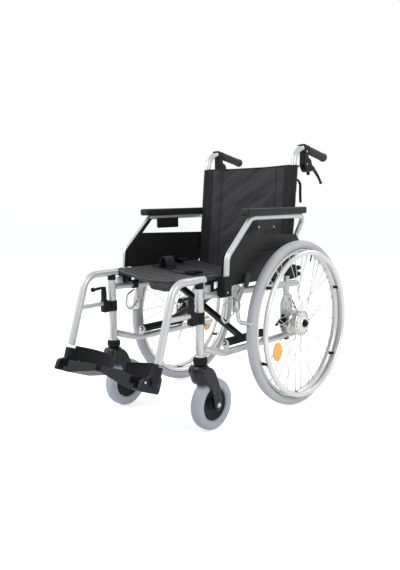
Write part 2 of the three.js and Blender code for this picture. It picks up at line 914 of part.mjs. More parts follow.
const lockPlateShares = [
  [-0.33, -0.33],
  [0.15, -0.33],
  [0.36, 0],
  [0.67, 0.46],
  [0.36, 0.67],
  [-0.4, 0.63],
];

function wheelLockBody() {
  const outer = lockInnerX + lockPlateThick;
  const clampInner = frameX + railRadius + pieceGap;
  const plate = plateAcross(
    scaledOutline(lockPlateShares, lockPivotY, lockPivotZ, lockPlateDepth, lockPlateHeight),
    lockInnerX,
    outer,
  );
  const clamp = block(
    [clampInner, lockPivotY - lockPlateDepth / 3, upperRailRearZ - railRadius],
    [lockInnerX + weldDepth, lockPivotY + lockPlateDepth / 3, upperRailFrontZ + railRadius],
  );
  const pin = rod(
    [lockInnerX, lockPivotY, lockPivotZ],
    [outer + lockPinLength, lockPivotY, lockPivotZ],
    lockPin,
    pinSides,
  );
  return joined([plate, clamp, pin]);
}

// The lever's blade runs from the shoe at the tyre, past the pivot, up to the hand grip.
function wheelLockLever() {
  const inner = lockInnerX + lockPlateThick + pieceGap;
  const outer = inner + lockLeverThick;
  const gripFootY = lockPivotY + lockGripBack;
  const gripFootZ = lockPivotZ + lockGripRise;
  const shoeReach = tyreRadius + shoeRadius + shoeGap;
  const shoeY = -shoeReach * Math.cos(shoeAngle);
  const shoeZ = tyreRadius + shoeReach * Math.sin(shoeAngle);
  const shoeEndX = wheelX + tyreWidth / 2 - shoeShort;
  const gripX = frameX + lockGripOut;
  const blade = plateAcross(
    [
      [shoeY - lockBladeHalf, shoeZ - lockBladeHalf],
      [shoeY + lockBladeHalf, shoeZ - lockBladeHalf],
      [lockPivotY + lockPivotBoss, lockPivotZ],
      [gripFootY + lockBladeHalf, gripFootZ + lockBladeHalf],
      [gripFootY - lockBladeHalf / 2, gripFootZ + lockBladeHalf],
      [lockPivotY - lockPivotBoss, lockPivotZ + lockPivotBoss],
    ],
    inner,
    outer,
  );
  const shoe = rod([inner, shoeY, shoeZ], [shoeEndX, shoeY, shoeZ], shoeRadius);
  const grip = rod(
    [gripX, gripFootY, gripFootZ],
    [gripX, gripFootY + lockGripLean, gripFootZ + lockGripLength],
    lockGripRadius,
  );
  const bore = rod(
    [inner - cutOver, lockPivotY, lockPivotZ],
    [outer + cutOver, lockPivotY, lockPivotZ],
    lockPin + runningGap,
    pinSides,
  );
  return cutFrom(joined([blade, shoe, grip]), [bore]);
}

function addSideFrame(group, side) {
  const silver = () => material("silver", 0.35, 0.6);
  const black = () => material("black", 0.6, 0);
  piece(group, `${side}_front_post`, frontPost(), silver());
  piece(group, `${side}_upper_rail`, upperRail(), silver());
  piece(group, `${side}_lower_rail`, lowerRail(), silver());
  piece(group, `${side}_back_cane`, backCane(), silver());
  piece(group, `${side}_axle_bracket`, axleBracket(), silver());
  piece(group, `${side}_release_button`, releaseButton(), black());
  piece(group, `${side}_push_grip`, pushGrip(), black());
  piece(group, `${side}_brake_housing`, brakeHousing(), black());
  piece(group, `${side}_brake_lever`, brakeLever(), black());
  piece(group, `${side}_brake_cable`, brakeCable(), black());
  piece(group, `${side}_armrest_socket`, armrestSocket(), black());
  piece(group, `${side}_wheel_lock_body`, wheelLockBody(), material("steel", 0.4, 0.8));
  piece(group, `${side}_wheel_lock_lever`, wheelLockLever(), material("steel", 0.4, 0.8));
}

// Spokes leave the hub on two flanges, half leaning forwards and half back.
function spokes() {
  const rimRadius = tyreRadius - tyreDepth - rimDepth / 2;
  const hubEnd = hubRadius - flangeInset;
  const found = [];
  for (let i = 0; i < spokeCount; i += 1) {
    const away = i % 2 ? -1 : 1;
    const flangeX = away < 0 ? hubInnerX + flangeInset : hubOuterX - flangeInset;
    const forwards = Math.floor(i / 2) % 2 ? 1 : -1;
    const atRim = (2 * Math.PI * (i + 0.5)) / spokeCount;
    const atHub = atRim + forwards * spokeLean;
    const headX = flangeX - (forwards > 0 ? away * spokeHeadStep : 0);
    found.push(
      rod(
        [headX, hubEnd * Math.sin(atHub), hubEnd * Math.cos(atHub)],
        [wheelX + away * spokeStagger, rimRadius * Math.sin(atRim), rimRadius * Math.cos(atRim)],
        spokeRadius,
        spokeSides,
      ),
    );
  }
  return found;
}

function rearWheel() {
  const half = rimWidth / 2;
  const lip = rimInner + rimDepth / 3;
  const rim = turned(
    [
      [rimOuter, wheelX - half],
      [rimOuter, wheelX + half],
      [lip, wheelX + half],
      [rimInner, wheelX],
      [lip, wheelX - half],
    ],
    wheelSteps,
  );
  const bore = axleRadius + runningGap;
  const hub = turned(
    [
      [bore, hubInnerX],
      [hubRadius, hubInnerX],
      [hubRadius, hubOuterX],
      [hubShoulderRadius, hubOuterX + hubShoulder],
      [hubNoseRadius, hubNoseX],
      [bore, hubNoseX],
    ],
    hubSteps,
  );
  return joined([rim, hub, ...spokes()]);
}

function rearTyre() {
  const middle = tyreRadius - tyreDepth / 2;
  const section = ovalSection(middle, wheelX, tyreDepth / 2, tyreWidth / 2, tyreSectionPoints);
  return turned(section, wheelSteps);
}

function handRim() {
  const section = ovalSection(handRimRadius, handRimX, handRimTube, handRimTube, handRimSectionPoints);
  const seat = wheelX + rimWidth / 2 + pieceGap;
  const atRadius = rimOuter - standoffInset;
  const parts = [turned(section, wheelSteps)];
  for (let i = 0; i < standoffCount; i += 1) {
    const angle = (2 * Math.PI * (i + 0.5)) / standoffCount;
    const y = atRadius * Math.sin(angle);
    const z = atRadius * Math.cos(angle);
    parts.push(rod([seat, y, z], [handRimX, y, z], standoffRadius, standoffSides));
  }
  return joined(parts);
}

function addRearWheel(group, side) {
  const wheel = new THREE.Group();
  wheel.position.z = tyreRadius;
  group.add(wheel);
  piece(wheel, `${side}_rear_wheel`, rearWheel(), material("steel", 0.3, 0.8));
  piece(wheel, `${side}_rear_tyre`, rearTyre(), material("tyre", 0.8, 0));
  piece(wheel, `${side}_hand_rim`, handRim(), material("steel", 0.3, 0.8));
}

// The fork's arm in Y and Z: Y from the swivel axis, as shares of the trail, Z as shares of its top.
const forkArmShares = [
  [-0.42, 1],
  [0.42, 1],
  [0.74, 0.87],
  [1.14, 0.66],
  [1.36, 0.42],
  [1.24, 0.31],
  [0.94, 0.28],
  [0.62, 0.36],
  [0.34, 0.56],
  [-0.2, 0.78],
  [-0.46, 0.88],
];

function casterFork() {
  const outer = forkGap + forkArm;
  const points = forkArmShares.map(([u, v]) => [u * casterTrail, v * forkTop]);
  const whole = plateAcross(points, -outer, outer);
  const wheelRoom = block(
    [-forkGap, -2 * casterTrail, 0],
    [forkGap, 3 * casterTrail, forkBridge],
  );
  const stem = rod([0, 0, forkTop - cutOver], [0, 0, forkTop + stemLength], stemRadius);
  const bolt = rod(
    [-outer - casterBoltProud, casterTrail, casterRadius],
    [outer + casterBoltProud, casterTrail, casterRadius],
    casterBoltRadius,
  );
  const heads = [-1, 1].map((way) =>
    rod(
      [way * (outer - cutOver), casterTrail, casterRadius],
      [way * (outer + casterBoltProud), casterTrail, casterRadius],
      casterBoltHead,
    ),
  );
  return joined([cutFrom(whole, [wheelRoom]), stem, bolt, ...heads]);
}

function casterWheel() {
  const half = casterHubWidth / 2;
  const rim = casterRadius - casterTyreDepth - casterSeatGap;
  const bore = casterBoltRadius + runningGap;
  const boss = 2.5 * bore;
  return turned(
    [
      [bore, -forkGap + pieceGap],
      [boss, -forkGap + pieceGap],
      [boss, -half / 2],
      [rim, -half],
      [rim, half],
      [boss, half / 2],
      [boss, forkGap - pieceGap],
      [bore, forkGap - pieceGap],
    ],
    casterSteps,
  );
}

function casterTyre() {
  const middle = casterRadius - casterTyreDepth / 2;
  const section = ovalSection(middle, 0, casterTyreDepth / 2, casterTyreWidth / 2, tyreSectionPoints);
  return turned(section, casterSteps);
}

function addCaster(group, side) {
  const caster = new THREE.Group();
  caster.position.set(frameX, postY, 0);
  group.add(caster);
  piece(caster, `${side}_caster_fork`, casterFork(), material("fork", 0.5, 0));
  const wheel = new THREE.Group();
  wheel.position.set(0, casterTrail, casterRadius);
  caster.add(wheel);
  piece(wheel, `${side}_caster_wheel`, casterWheel(), material("black", 0.6, 0));
  piece(wheel, `${side}_caster_tyre`, casterTyre(), material("tyre", 0.8, 0));
}

// A place in the footplate's tipped frame, given in the chair's frame.
function footPlace(x, forward, up) {
  return [
    footPivotX + x,
    footPivotY - forward * Math.cos(footTilt) + up * Math.sin(footTilt),
    footPivotZ + forward * Math.sin(footTilt) + up * Math.cos(footTilt),
  ];
}

function inFootFrame(geometry) {
  return geometry.rotateX(-footTilt).translate(footPivotX, footPivotY, footPivotZ);
}

// The leg slopes forwards below the knee, so its Y follows from its height.
function legYAt(z) {
  return legKneeY - ((legTopZ - z) * legFootRun) / legDrop;
}

function legrestTube() {
  const knee = [frameX, legKneeY, legTopZ];
  const foot = [frameX, legFootY, legFootZ];
  const main = bentTube([[frameX, postY + legStub, legTopZ], knee, foot], legKneeRadius, legTube);
  const hangerOuter = footPivotInset;
  const hangerMiddle = footPlace(hangerOuter, 0, (hangerHigh - hangerLow) / 2);
  const slider = rod([frameX, legFootY, legFootZ + weldDepth], hangerMiddle, sliderRadius);
  const hanger = block([hangerInner, -hangerAhead, -hangerLow], [hangerOuter, hangerBehind, hangerHigh]);
  const tongue = block(
    [-hingeBarrel, -tongueHalf, -hangerLow],
    [hangerOuter - hingeBarrel, tongueHalf, hingeBarrel],
  );
  const pin = rod([0, -footHalfDepth, 0], [0, footHalfDepth, 0], hingePin, pinSides);
  const cross = rod(
    [frameX, legYAt(crossTubeZ) + weldDepth, crossTubeZ],
    [frameX, latchFront - pieceGap, crossTubeZ],
    crossTube,
  );
  const drop = rod(
    [frameX, postY, postTop - legPinDepth],
    [frameX, postY, legTopZ],
    legPin,
  );
  const lower = [hanger, tongue, pin].map(inFootFrame);
  return joined([main, slider, cross, drop, ...lower]);
}

function legrestLatch() {
  const low = latchTop - latchHeight;
  const footTopZ = low + latchFootHeight;
  const bodyRear = latchFront + latchThick;
  const rear = postY - postRadius - 2 * pieceGap;
  return plateAcross(
    [
      [latchFront, low],
      [rear, low],
      [rear, footTopZ],
      [bodyRear, footTopZ],
      [bodyRear, latchTop],
      [latchFront, latchTop],
    ],
    frameX - latchHalfWidth,
    frameX + latchHalfWidth,
  );
}

function latchLever() {
  const base = latchTop + pieceGap;
  const pivotY = latchFront + latchHubInset;
  const ballY = pivotY - latchArmLength;
  const hub = rod([frameX, pivotY, base], [frameX, pivotY, base + latchHubHeight], latchHub);
  const armZ = base + latchArmRise;
  const arm = rod([frameX, pivotY, armZ], [frameX, ballY, armZ], latchArm, leverSides);
  return joined([hub, arm, ball([frameX, ballY, armZ], latchBall)]);
}

// The plate is deep beside its hinge and thin where the two plates meet.
function footplate() {
  const length = (footPivotX - footMiddleGap) / Math.cos(footCant);
  const slab = plateAlong(
    [
      [-footOuterGap, -hingeBarrel],
      [-footOuterGap, footTop],
      [-length, footTop],
      [-length, footTop - footThick],
      [-footLevelRun, -hingeBarrel],
    ],
    -footHalfDepth,
    footHalfDepth,
  ).rotateY(footCant);
  const knuckleInner = tongueHalf + knuckleGap;
  const knuckleEnd = -footOuterGap - cutOver;
  const knuckleOutline = [
    [0, -hingeBarrel],
    [0, hingeBarrel],
    [knuckleEnd, hingeBarrel],
    [knuckleEnd, -hingeBarrel / 2],
  ];
  const parts = [slab];
  const bores = [];
  for (const way of [-1, 1]) {
    const near = way * knuckleInner;
    const far = way * footHalfDepth;
    const lowY = Math.min(near, far);
    const highY = Math.max(near, far);
    parts.push(plateAlong(knuckleOutline, lowY, highY));
    parts.push(rod([0, lowY, 0], [0, highY, 0], hingeBarrel));
    bores.push(rod([0, lowY - cutOver, 0], [0, highY + cutOver, 0], hingePin + runningGap, pinSides));
  }
  return inFootFrame(cutFrom(joined(parts), bores));
}

// The strap behind the heel: a band that bows back between the tube and the plate's inner end.
function heelStrap() {
  const outerX = frameX - strapOuterInset;
  const outerY = legFootY + strapOuterBack;
  const innerY = footPivotY + strapInnerBack;
  const bow = new THREE.QuadraticBezierCurve(
    new THREE.Vector2(outerX, outerY),
    new THREE.Vector2(strapMiddleX, (outerY + innerY) / 2 + 2 * strapBow),
    new THREE.Vector2(strapInnerX, innerY),
  );
  const front = bow.getPoints(strapSteps);
  const back = front.map((p) => new THREE.Vector2(p.x, p.y + strapThick)).reverse();
  const shape = new THREE.Shape([...front, ...back]);
  const band = new THREE.ExtrudeGeometry(shape, { depth: strapHeight, bevelEnabled: false });
  const outerLow = legFootZ - strapOuterDrop;
  const innerLow = footPivotZ - strapInnerDrop;
  const fall = (outerLow - innerLow) / (outerX - strapInnerX);
  const slope = new THREE.Matrix4();
  slope.elements[2] = fall;
  slope.elements[9] = strapLeanShare;
  band.translate(0, 0, -strapHeight / 2).applyMatrix4(slope);
  return band.translate(0, 0, innerLow + strapHeight / 2 - fall * strapInnerX);
}

function addLegrest(group, side) {
  piece(group, `${side}_legrest_tube`, legrestTube(), material("silver", 0.35, 0.6));
  piece(group, `${side}_legrest_latch`, legrestLatch(), material("black", 0.6, 0));
  piece(group, `${side}_latch_lever`, latchLever(), material("black", 0.6, 0));
  piece(group, `${side}_footplate`, footplate(), material("plastic", 0.6, 0));
  piece(group, `${side}_heel_strap`, heelStrap(), material("cloth", 0.9, 0));
}

function armrestTube() {
  const tube = bentTube(
    [
      [armX, armFootY, armFootZ],
      [armX, armBendY, armBendZ],
      [armX, armTopFrontY, armTopZ],
      [armX, armTopRearY, armTopZ],
      [armRearX, armTopRearY - armRearLean, armTopZ - armRearDrop],
      [armRearX, armPivotY, armPivotZ],
    ],
    armBend,
    armTube,
  );
  const bossOuter = armRearX + armTube;
  const bossInner = armRearX - armTube;
  const boss = rod(
    [bossInner, armPivotY, armPivotZ],
    [bossOuter, armPivotY, armPivotZ],
    armPivotBoss,
    boreSides,
  );
  const bore = rod(
    [bossInner - cutOver, armPivotY, armPivotZ],
    [bossOuter + cutOver, armPivotY, armPivotZ],
    armPivotPin + runningGap,
    pinSides,
  );
  const blockFront = armTopFrontY + armBlockAhead;
  const hungBlock = block(
    [armX - armBlockHalf, blockFront, armTopZ - armBlockDrop],
    [armX + armBlockHalf, blockFront + armBlockLength, armTopZ],
  );
  return cutFrom(joined([tube, boss, hungBlock]), [bore]);
}

// How wide and high the pad is at each share of the way from its end to its full section.
const padEndShares = [
  [0, 0.72],
  [0.12, 0.86],
  [0.45, 0.96],
  [1, 1],
];

// The pad is flat underneath and along its top, with rounded edges and ends.
function armrestPad() {
  const low = armTopZ + armTube + pieceGap;
  const middleX = armX + (padOuter - padInner) / 2;
  const half = (padInner + padOuter) / 2;
  const loopAt = (y, share) => {
    const wide = half * share;
    const high = low + padThick - padEnd * (1 - share);
    const foot = low + padEnd * (1 - share);
    return [
      [middleX - wide + padEdge, y, foot],
      [middleX + wide - padEdge, y, foot],
      [middleX + wide, y, foot + padEdge],
      [middleX + wide, y, high - padEdge],
      [middleX + wide - padEdge, y, high],
      [middleX - wide + padEdge, y, high],
      [middleX - wide, y, high - padEdge],
      [middleX - wide, y, foot + padEdge],
    ];
  };
  const front = padEndShares.map(([run, share]) => loopAt(padFront + run * padEnd, share));
  const rear = padEndShares.map(([run, share]) => loopAt(padRear - run * padEnd, share)).reverse();
  return lofted([...front, ...rear], inXZ);
}

// Where the middle of the armrest's front leg lies at a height.
function armLegYAt(z) {
  return z < armBendZ
    ? armFootY + ((z - armFootZ) * armLegLean) / (armBendZ - armFootZ)
    : armBendY + ((z - armBendZ) * armSlopeRun) / (armTopZ - armBendZ);
}

// The panel follows the armrest's front leg, stays open above, and steps round the socket.
function sidePanel() {
  const outer = panelInnerX + panelThick;
  const low = socketTop + panelSocketGap;
  const stepY = armFootY + armTube + socketRoomBehind + socketWall + panelSocketGap;
  const rear = armTopRearY - panelRearInset;
  const panel = plateAcross(
    [
      [armLegYAt(low), low],
      [stepY, low],
      [stepY, panelLow],
      [rear - panelHeelRun, panelLow],
      [rear, panelHeelZ],
      [rear - panelRearSlope, panelTopRearZ],
      [armLegYAt(panelTopFrontZ), panelTopFrontZ],
      [armBendY, armBendZ],
    ],
    panelInnerX,
    outer,
  );
  const frontBosses = panelBossZs.map((z) =>
    rod(
      [outer - weldDepth, armLegYAt(z), z],
      [armX - armTube - pieceGap, armLegYAt(z), z],
      panelBossRadius,
    ),
  );
  const rearY = armTopRearY - armRearLean - panelRearBossInset;
  const rearBoss = rod(
    [panelInnerX + weldDepth, rearY, panelRearBossZ],
    [armRearX + armTube + pieceGap, rearY, panelRearBossZ],
    panelBossRadius,
  );
  return joined([panel, ...frontBosses, rearBoss]);
}

function addArmrest(group, side) {
  piece(group, `${side}_armrest_tube`, armrestTube(), material("silver", 0.35, 0.6));
  piece(group, `${side}_armrest_pad`, armrestPad(), material("black", 0.7, 0));
  piece(group, `${side}_side_panel`, sidePanel(), material("plastic", 0.6, 0));
}

// One bar of the scissor: a sleeve low on its own side and a seat rail high on the other.
function crossBrace(planeY, boltRoom) {
  const sleeve = rod([braceX, sleeveFront, bracePivotZ], [braceX, sleeveRear, bracePivotZ], sleeveRadius);
  const bar = rod([braceX, planeY, bracePivotZ], [-braceX, planeY, seatRailZ], barRadius);
  const seatRail = rod(
    [-braceX, seatRailFront, seatRailZ],
    [-braceX, seatRailRear, seatRailZ],
    seatRailRadius,
  );
  const middleZ = (bracePivotZ + seatRailZ) / 2;
  const holes = [
    [sleeveFront - cutOver, sleeveFront + pivotPinLength + cutOver],
    [sleeveRear - pivotPinLength - cutOver, sleeveRear + cutOver],
  ].map(([near, far]) => rod([braceX, near, bracePivotZ], [braceX, far, bracePivotZ], pivotPin + runningGap));
  const boltHole = rod(
    [0, planeY - 2 * barRadius, middleZ],
    [0, planeY + 2 * barRadius, middleZ],
    boltRadius + boltRoom,
  );
  return cutFrom(joined([sleeve, bar, seatRail]), [...holes, boltHole]);
}

function braceBolt() {
  const middleZ = (bracePivotZ + seatRailZ) / 2;
  const front = barPlaneY - barSpread / 2 - barRadius - pieceGap;
  const rear = barPlaneY + barSpread / 2 + barRadius + pieceGap;
  const shank = rod([0, front - cutOver, middleZ], [0, rear + cutOver, middleZ], boltRadius);
  const head = rod([0, front - lugThick, middleZ], [0, front, middleZ], boltHead, standoffSides);
  const nut = rod([0, rear, middleZ], [0, rear + lugThick, middleZ], boltHead, standoffSides);
  return joined([shank, head, nut]);
}

// How far the seat hangs below its rails: most in the middle, in shallow folds that run across.
function seatDip(x, y) {
  const share = x / (braceX - seatWrap / 2);
  const along = (y - seatFront) / (seatRear - seatFront);
  const deeper = seatMiddleSag * Math.sin(Math.PI * along);
  const fold = seatFoldHeight * Math.sin(2 * Math.PI * seatFolds * along);
  return (seatSag + deeper + fold) * (1 - share * share);
}

// The seat's section at one distance back: it hangs between the rails and wraps over each.
function seatLoop(y) {
  const over = seatWrap + clothThick;
  const top = [];
  const under = [];
  for (let i = 0; i <= seatSteps; i += 1) {
    const share = (2 * i) / seatSteps - 1;
    const x = share * (braceX - seatWrap / 2);
    const dip = seatDip(x, y);
    top.push([x, y, seatRailZ + over - dip]);
    under.push([x, y, seatRailZ + seatWrap - dip]);
  }
  const wrapped = (radius) => {
    const points = [];
    for (let i = 0; i <= seatWrapSteps; i += 1) {
      const angle = (seatWrapFrom * (seatWrapSteps - i)) / seatWrapSteps;
      points.push([braceX + radius * Math.cos(angle), y, seatRailZ + radius * Math.sin(angle)]);
    }
    return points;
  };
  const mirrored = (points) => points.map(([x, , z]) => [-x, y, z]).reverse();
  const outside = wrapped(over);
  const inside = wrapped(seatWrap).reverse();
  const left = [...outside, ...inside];
  return [...top, ...left, ...under.reverse(), ...mirrored(left)];
}

// The cloth flap that hangs from the seat's front edge, with its lower edge in waves.
function seatFlap() {
  const loops = [];
  for (let i = 0; i <= flapSteps; i += 1) {
    const x = flapHalf * ((2 * i) / flapSteps - 1);
    const wave = flapWave * Math.sin((2 * Math.PI * flapWaves * i) / flapSteps);
    const top = seatRailZ + seatWrap - seatDip(x, seatFront) + clothThick / 2;
    const low = seatRailZ + seatWrap - seatSag - flapDrop;
    const front = seatFront + flapWave;
    loops.push([
      [x, front, top],
      [x, front + wave, low],
      [x, front + wave + clothThick, low],
      [x, front + clothThick, top],
    ]);
  }
  return lofted(loops, ([, y, z]) => new THREE.Vector2(y, z));
}

function seatSling() {
  const loops = [];
  for (let i = 0; i <= seatRows; i += 1) {
    loops.push(seatLoop(seatFront + ((seatRear - seatFront) * i) / seatRows));
  }
  return joined([lofted(loops, inXZ), seatFlap()]);
}

// The back's section at one share of its height: it bows back between the canes, in folds.
function backLoop(share, height) {
  const hole = caneRadius + pieceGap;
  const reach = frameX - (hole + sleeveWall) / 2;
  const fold = backFoldHeight * Math.sin(2 * Math.PI * backFolds * share);
  const sag = backSag - backTopTightness * share * share + fold;
  const front = [];
  const rear = [];
  for (let i = 0; i <= backSteps; i += 1) {
    const across = (2 * i) / backSteps - 1;
    const bow = sag * (1 - across * across) - hole * backFaceShare;
    front.push([across * reach, bow - sleeveWall, share * height]);
    rear.push([across * reach, bow + clothThick - sleeveWall, share * height]);
  }
  return [...front, ...rear.reverse()];
}

// The back hangs between the canes, with a sleeve round each.
function backSling() {
  const hole = caneRadius + pieceGap;
  const lean = Math.atan2(caneLeanRun, caneCornerZ - caneKinkZ);
  const height = (backTop - backLow) / Math.cos(lean);
  const seat = (geometry) => geometry.rotateX(-lean).translate(0, caneYAt(backLow), backLow);
  const loops = [];
  for (let i = 0; i <= backRows; i += 1) {
    loops.push(backLoop(i / backRows, height));
  }
  const cloth = seat(lofted(loops, inXY));
  const sleeves = [-frameX, frameX].map((x) =>
    seat(rod([x, 0, 0], [x, 0, height], hole + sleeveWall, boreSides)),
  );
  const past = receiverRadius;
  const holes = [-frameX, frameX].map((x) => seat(rod([x, 0, -past], [x, 0, height + past], hole, boreSides)));
  const lugRoom = [-1, 1].map((way) => {
    const inner = way * (frameX - caneRadius);
    const outer = way * (frameX + 2 * caneRadius);
    const low = [Math.min(inner, outer), caneYAt(armPivotZ) - caneRadius / 4, armPivotZ - armTube - cutOver];
    const high = [Math.max(inner, outer), armPivotY + 3 * caneRadius, armPivotZ + armTube + cutOver];
    return block(low, high);
  });
  return cutFrom(joined([cloth, ...sleeves]), [...holes, ...lugRoom]);
}

// The lap belt lies across the seat, stands up in one loose arch and meets in a buckle.
function lapBelt() {
  const front = beltY - beltWidth / 2;
  const rear = beltY + beltWidth / 2;
  const seatTop = (x) => {
    const dips = [front, beltY, rear].map((y) => seatDip(x, y));
    return seatRailZ + seatRailRadius + clothThick + 3 * pieceGap - Math.min(...dips);
  };
  const archTo = archWidth - beltHalf;
  const middles = [];
  for (let i = 0; i <= beltSteps; i += 1) {
    const x = beltHalf * ((2 * i) / beltSteps - 1);
    const rise = x < archTo ? archHeight * Math.sin((Math.PI * (x + beltHalf)) / archWidth) : 0;
    middles.push(new THREE.Vector2(x, seatTop(x) + rise));
  }
  const upper = middles.map((place, i) => {
    const run = middles[Math.min(i + 1, beltSteps)].clone().sub(middles[Math.max(i - 1, 0)]).normalize();
    return [place.x - run.y * beltThick, place.y + run.x * beltThick];
  });
  const lower = middles.map((place) => [place.x, place.y]);
  const strap = plateAlong([...lower, ...upper.reverse()], front, rear);
  const buckleLow = seatTop(buckleLength / 2);
  const buckle = block(
    [-buckleLength / 2, front - beltThick, buckleLow],
    [buckleLength / 2, rear + beltThick, buckleLow + buckleThick],
  );
  return joined([strap, buckle]);
}

const chair = new THREE.Group();
for (const [side, flip, planeShift] of [["left", 1, -0.5], ["right", -1, 0.5]]) {
  const half = new THREE.Group();
  half.scale.x = flip;
  chair.add(half);
  addSideFrame(half, side);
  addRearWheel(half, side);
  addCaster(half, side);
  addLegrest(half, side);
  addArmrest(half, side);
  const planeY = barPlaneY + planeShift * barSpread;
  const hole = flip > 0 ? pieceGap : runningGap;
  piece(half, `${side}_cross_brace`, crossBrace(planeY, hole), material("black", 0.5, 0.3));
}
piece(chair, "brace_bolt", braceBolt(), material("steel", 0.4, 0.8));
piece(chair, "seat_sling", seatSling(), material("cloth", 0.9, 0));
piece(chair, "back_sling", backSling(), material("cloth", 0.9, 0));
piece(chair, "lap_belt", lapBelt(), material("cloth", 0.9, 0));

// The origin goes under the middle of the chair's outline.
const wheelchair = new THREE.Group();
wheelchair.add(chair);
chair.position.y = -middleY;

export default wheelchair;
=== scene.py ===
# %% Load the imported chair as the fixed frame
from math import atan2, copysign, cos, degrees, exp, pi, radians, sin, sqrt, tan

import bmesh
import bpy
from mathutils import Matrix, Vector, noise


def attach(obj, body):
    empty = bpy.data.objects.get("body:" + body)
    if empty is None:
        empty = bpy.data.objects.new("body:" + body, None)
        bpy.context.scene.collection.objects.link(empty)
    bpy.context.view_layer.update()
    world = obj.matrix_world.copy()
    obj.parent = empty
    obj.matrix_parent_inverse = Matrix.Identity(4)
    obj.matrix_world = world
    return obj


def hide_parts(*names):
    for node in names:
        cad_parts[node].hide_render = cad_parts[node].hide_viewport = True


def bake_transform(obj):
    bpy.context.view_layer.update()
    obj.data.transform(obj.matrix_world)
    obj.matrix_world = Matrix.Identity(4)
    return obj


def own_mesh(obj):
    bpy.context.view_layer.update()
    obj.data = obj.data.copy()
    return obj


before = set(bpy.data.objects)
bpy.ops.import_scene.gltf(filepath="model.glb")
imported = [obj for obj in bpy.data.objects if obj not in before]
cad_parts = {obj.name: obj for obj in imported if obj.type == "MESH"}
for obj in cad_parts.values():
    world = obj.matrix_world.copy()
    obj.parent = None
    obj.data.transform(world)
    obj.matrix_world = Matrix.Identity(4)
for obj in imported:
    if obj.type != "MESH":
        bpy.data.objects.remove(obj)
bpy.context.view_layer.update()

# %% [markdown]
# The chair was drawn in millimetres, with its depth measured from the rear axle. Keeping
# those numbers makes each piece easy to check against a tape measure, so one helper turns
# them into the metres of the scene, and every piece below is written with them.

# %% From the chair's millimetres to the scene's metres
AXLE_Y = 217.5
AXLE_Z = 305
TUBE_X = 213
SIDES = (1, -1)
PREFIX = {1: "left_", -1: "right_", 0: ""}


def placed(point):
    """A place on the chair in millimetres, as a place in the scene in metres."""
    x, y, z = point
    return Vector((x, y + AXLE_Y, z)) / 1000


def in_plane(*places):
    """Places in the upright plane that holds one side's tubes."""
    return [(TUBE_X, y, z) for y, z in places]


def linked(name, data):
    """A new object that is in the scene."""
    made = bpy.data.objects.new(name, data)
    bpy.context.scene.collection.objects.link(made)
    return made


print("rear axle at", placed((0, 0, AXLE_Z)))

# %% [markdown]
# The photograph was taken from the front, left of the chair, just above seat height. The
# place, the lens and the slight roll come from fitting the wheels' outlines and the frame's
# corners, so the render can be laid over the photograph. A long lens keeps the wheels round.

# %% Camera
CAMERA_AZIMUTH = radians(41.636)
CAMERA_ELEVATION = radians(7.561)
CAMERA_ROLL = radians(-0.981)
PHOTO_WIDTH = 400
FOCAL_PIXELS = 635.37

away = Vector((
    sin(CAMERA_AZIMUTH) * cos(CAMERA_ELEVATION),
    -cos(CAMERA_AZIMUTH) * cos(CAMERA_ELEVATION),
    sin(CAMERA_ELEVATION),
))
level = Vector((0, 0, 1)).cross(away).normalized()
upright = away.cross(level)
right = level * cos(CAMERA_ROLL) + upright * sin(CAMERA_ROLL)
top = upright * cos(CAMERA_ROLL) - level * sin(CAMERA_ROLL)

lens = bpy.data.cameras.new("photo_camera")
lens.sensor_fit = "HORIZONTAL"
lens.sensor_width = 36
lens.lens = FOCAL_PIXELS / PHOTO_WIDTH * lens.sensor_width
camera = linked("photo_camera", lens)
camera.matrix_world = Matrix.Translation(placed((1555.9, -1977.6, 760.3))) @ Matrix(
    (right, top, away)
).transposed().to_4x4()
bpy.context.scene.camera = camera
print("camera at", camera.location[:], "lens", round(lens.lens, 1), "mm")

# %% [markdown]
# The photograph has a plain white ground. Here the floor and the sky look white to the
# camera and to reflections, while the light on the chair comes from three large soft lamps
# and a pale grey sky, so dark plastic keeps its shape and silver tubes keep their shading.

# %% Floor, sky and lamps
scene = bpy.context.scene
scene.view_settings.view_transform = "Standard"


def new_node(tree, kind, links=None, **settings):
    made = tree.nodes.new("ShaderNode" + kind)
    for key, value in settings.items():
        setattr(made, key, value)
    for key, value in (links or {}).items():
        if isinstance(value, bpy.types.NodeSocket):
            tree.links.new(value, made.inputs[key])
        else:
            made.inputs[key].default_value = value
    return made


def maths(tree, operation, *values):
    """The outcome of one sum on the values, which are numbers or other nodes' outlets."""
    return new_node(tree, "Math", dict(enumerate(values)), operation=operation).outputs[0]


def seen_as_white(tree):
    path = new_node(tree, "LightPath").outputs
    either = maths(tree, "MAXIMUM", path["Is Camera Ray"], path["Is Glossy Ray"])
    return maths(tree, "MAXIMUM", either, path["Is Transmission Ray"])


sky = bpy.data.worlds.new("studio_sky")
scene.world = sky
sky.use_nodes = True
sky.node_tree.nodes.clear()
light_sky = new_node(sky.node_tree, "Background", {"Color": (0.93, 0.95, 1, 1), "Strength": 0.55})
white_sky = new_node(sky.node_tree, "Background", {"Color": (1, 1, 1, 1), "Strength": 1.0})
mixed_sky = new_node(sky.node_tree, "MixShader", {0: seen_as_white(sky.node_tree), 1: light_sky.outputs[0],
                                                  2: white_sky.outputs[0]})
new_node(sky.node_tree, "OutputWorld", {"Surface": mixed_sky.outputs[0]})


def lamp(name, place, size, watts):
    light = bpy.data.lights.new(name, "AREA")
    light.size = size
    light.energy = watts
    made = linked(name, light)
    made.location = place
    made.rotation_euler = (Vector((0, 0, 0.45)) - Vector(place)).to_track_quat("-Z", "Y").to_euler()


lamp("key_softbox", (-1.6, -2.2, 2.6), 1.8, 62)
lamp("side_softbox", (3.0, -0.6, 1.9), 1.8, 34)
lamp("back_softbox", (0.4, 2.8, 2.4), 2.0, 30)

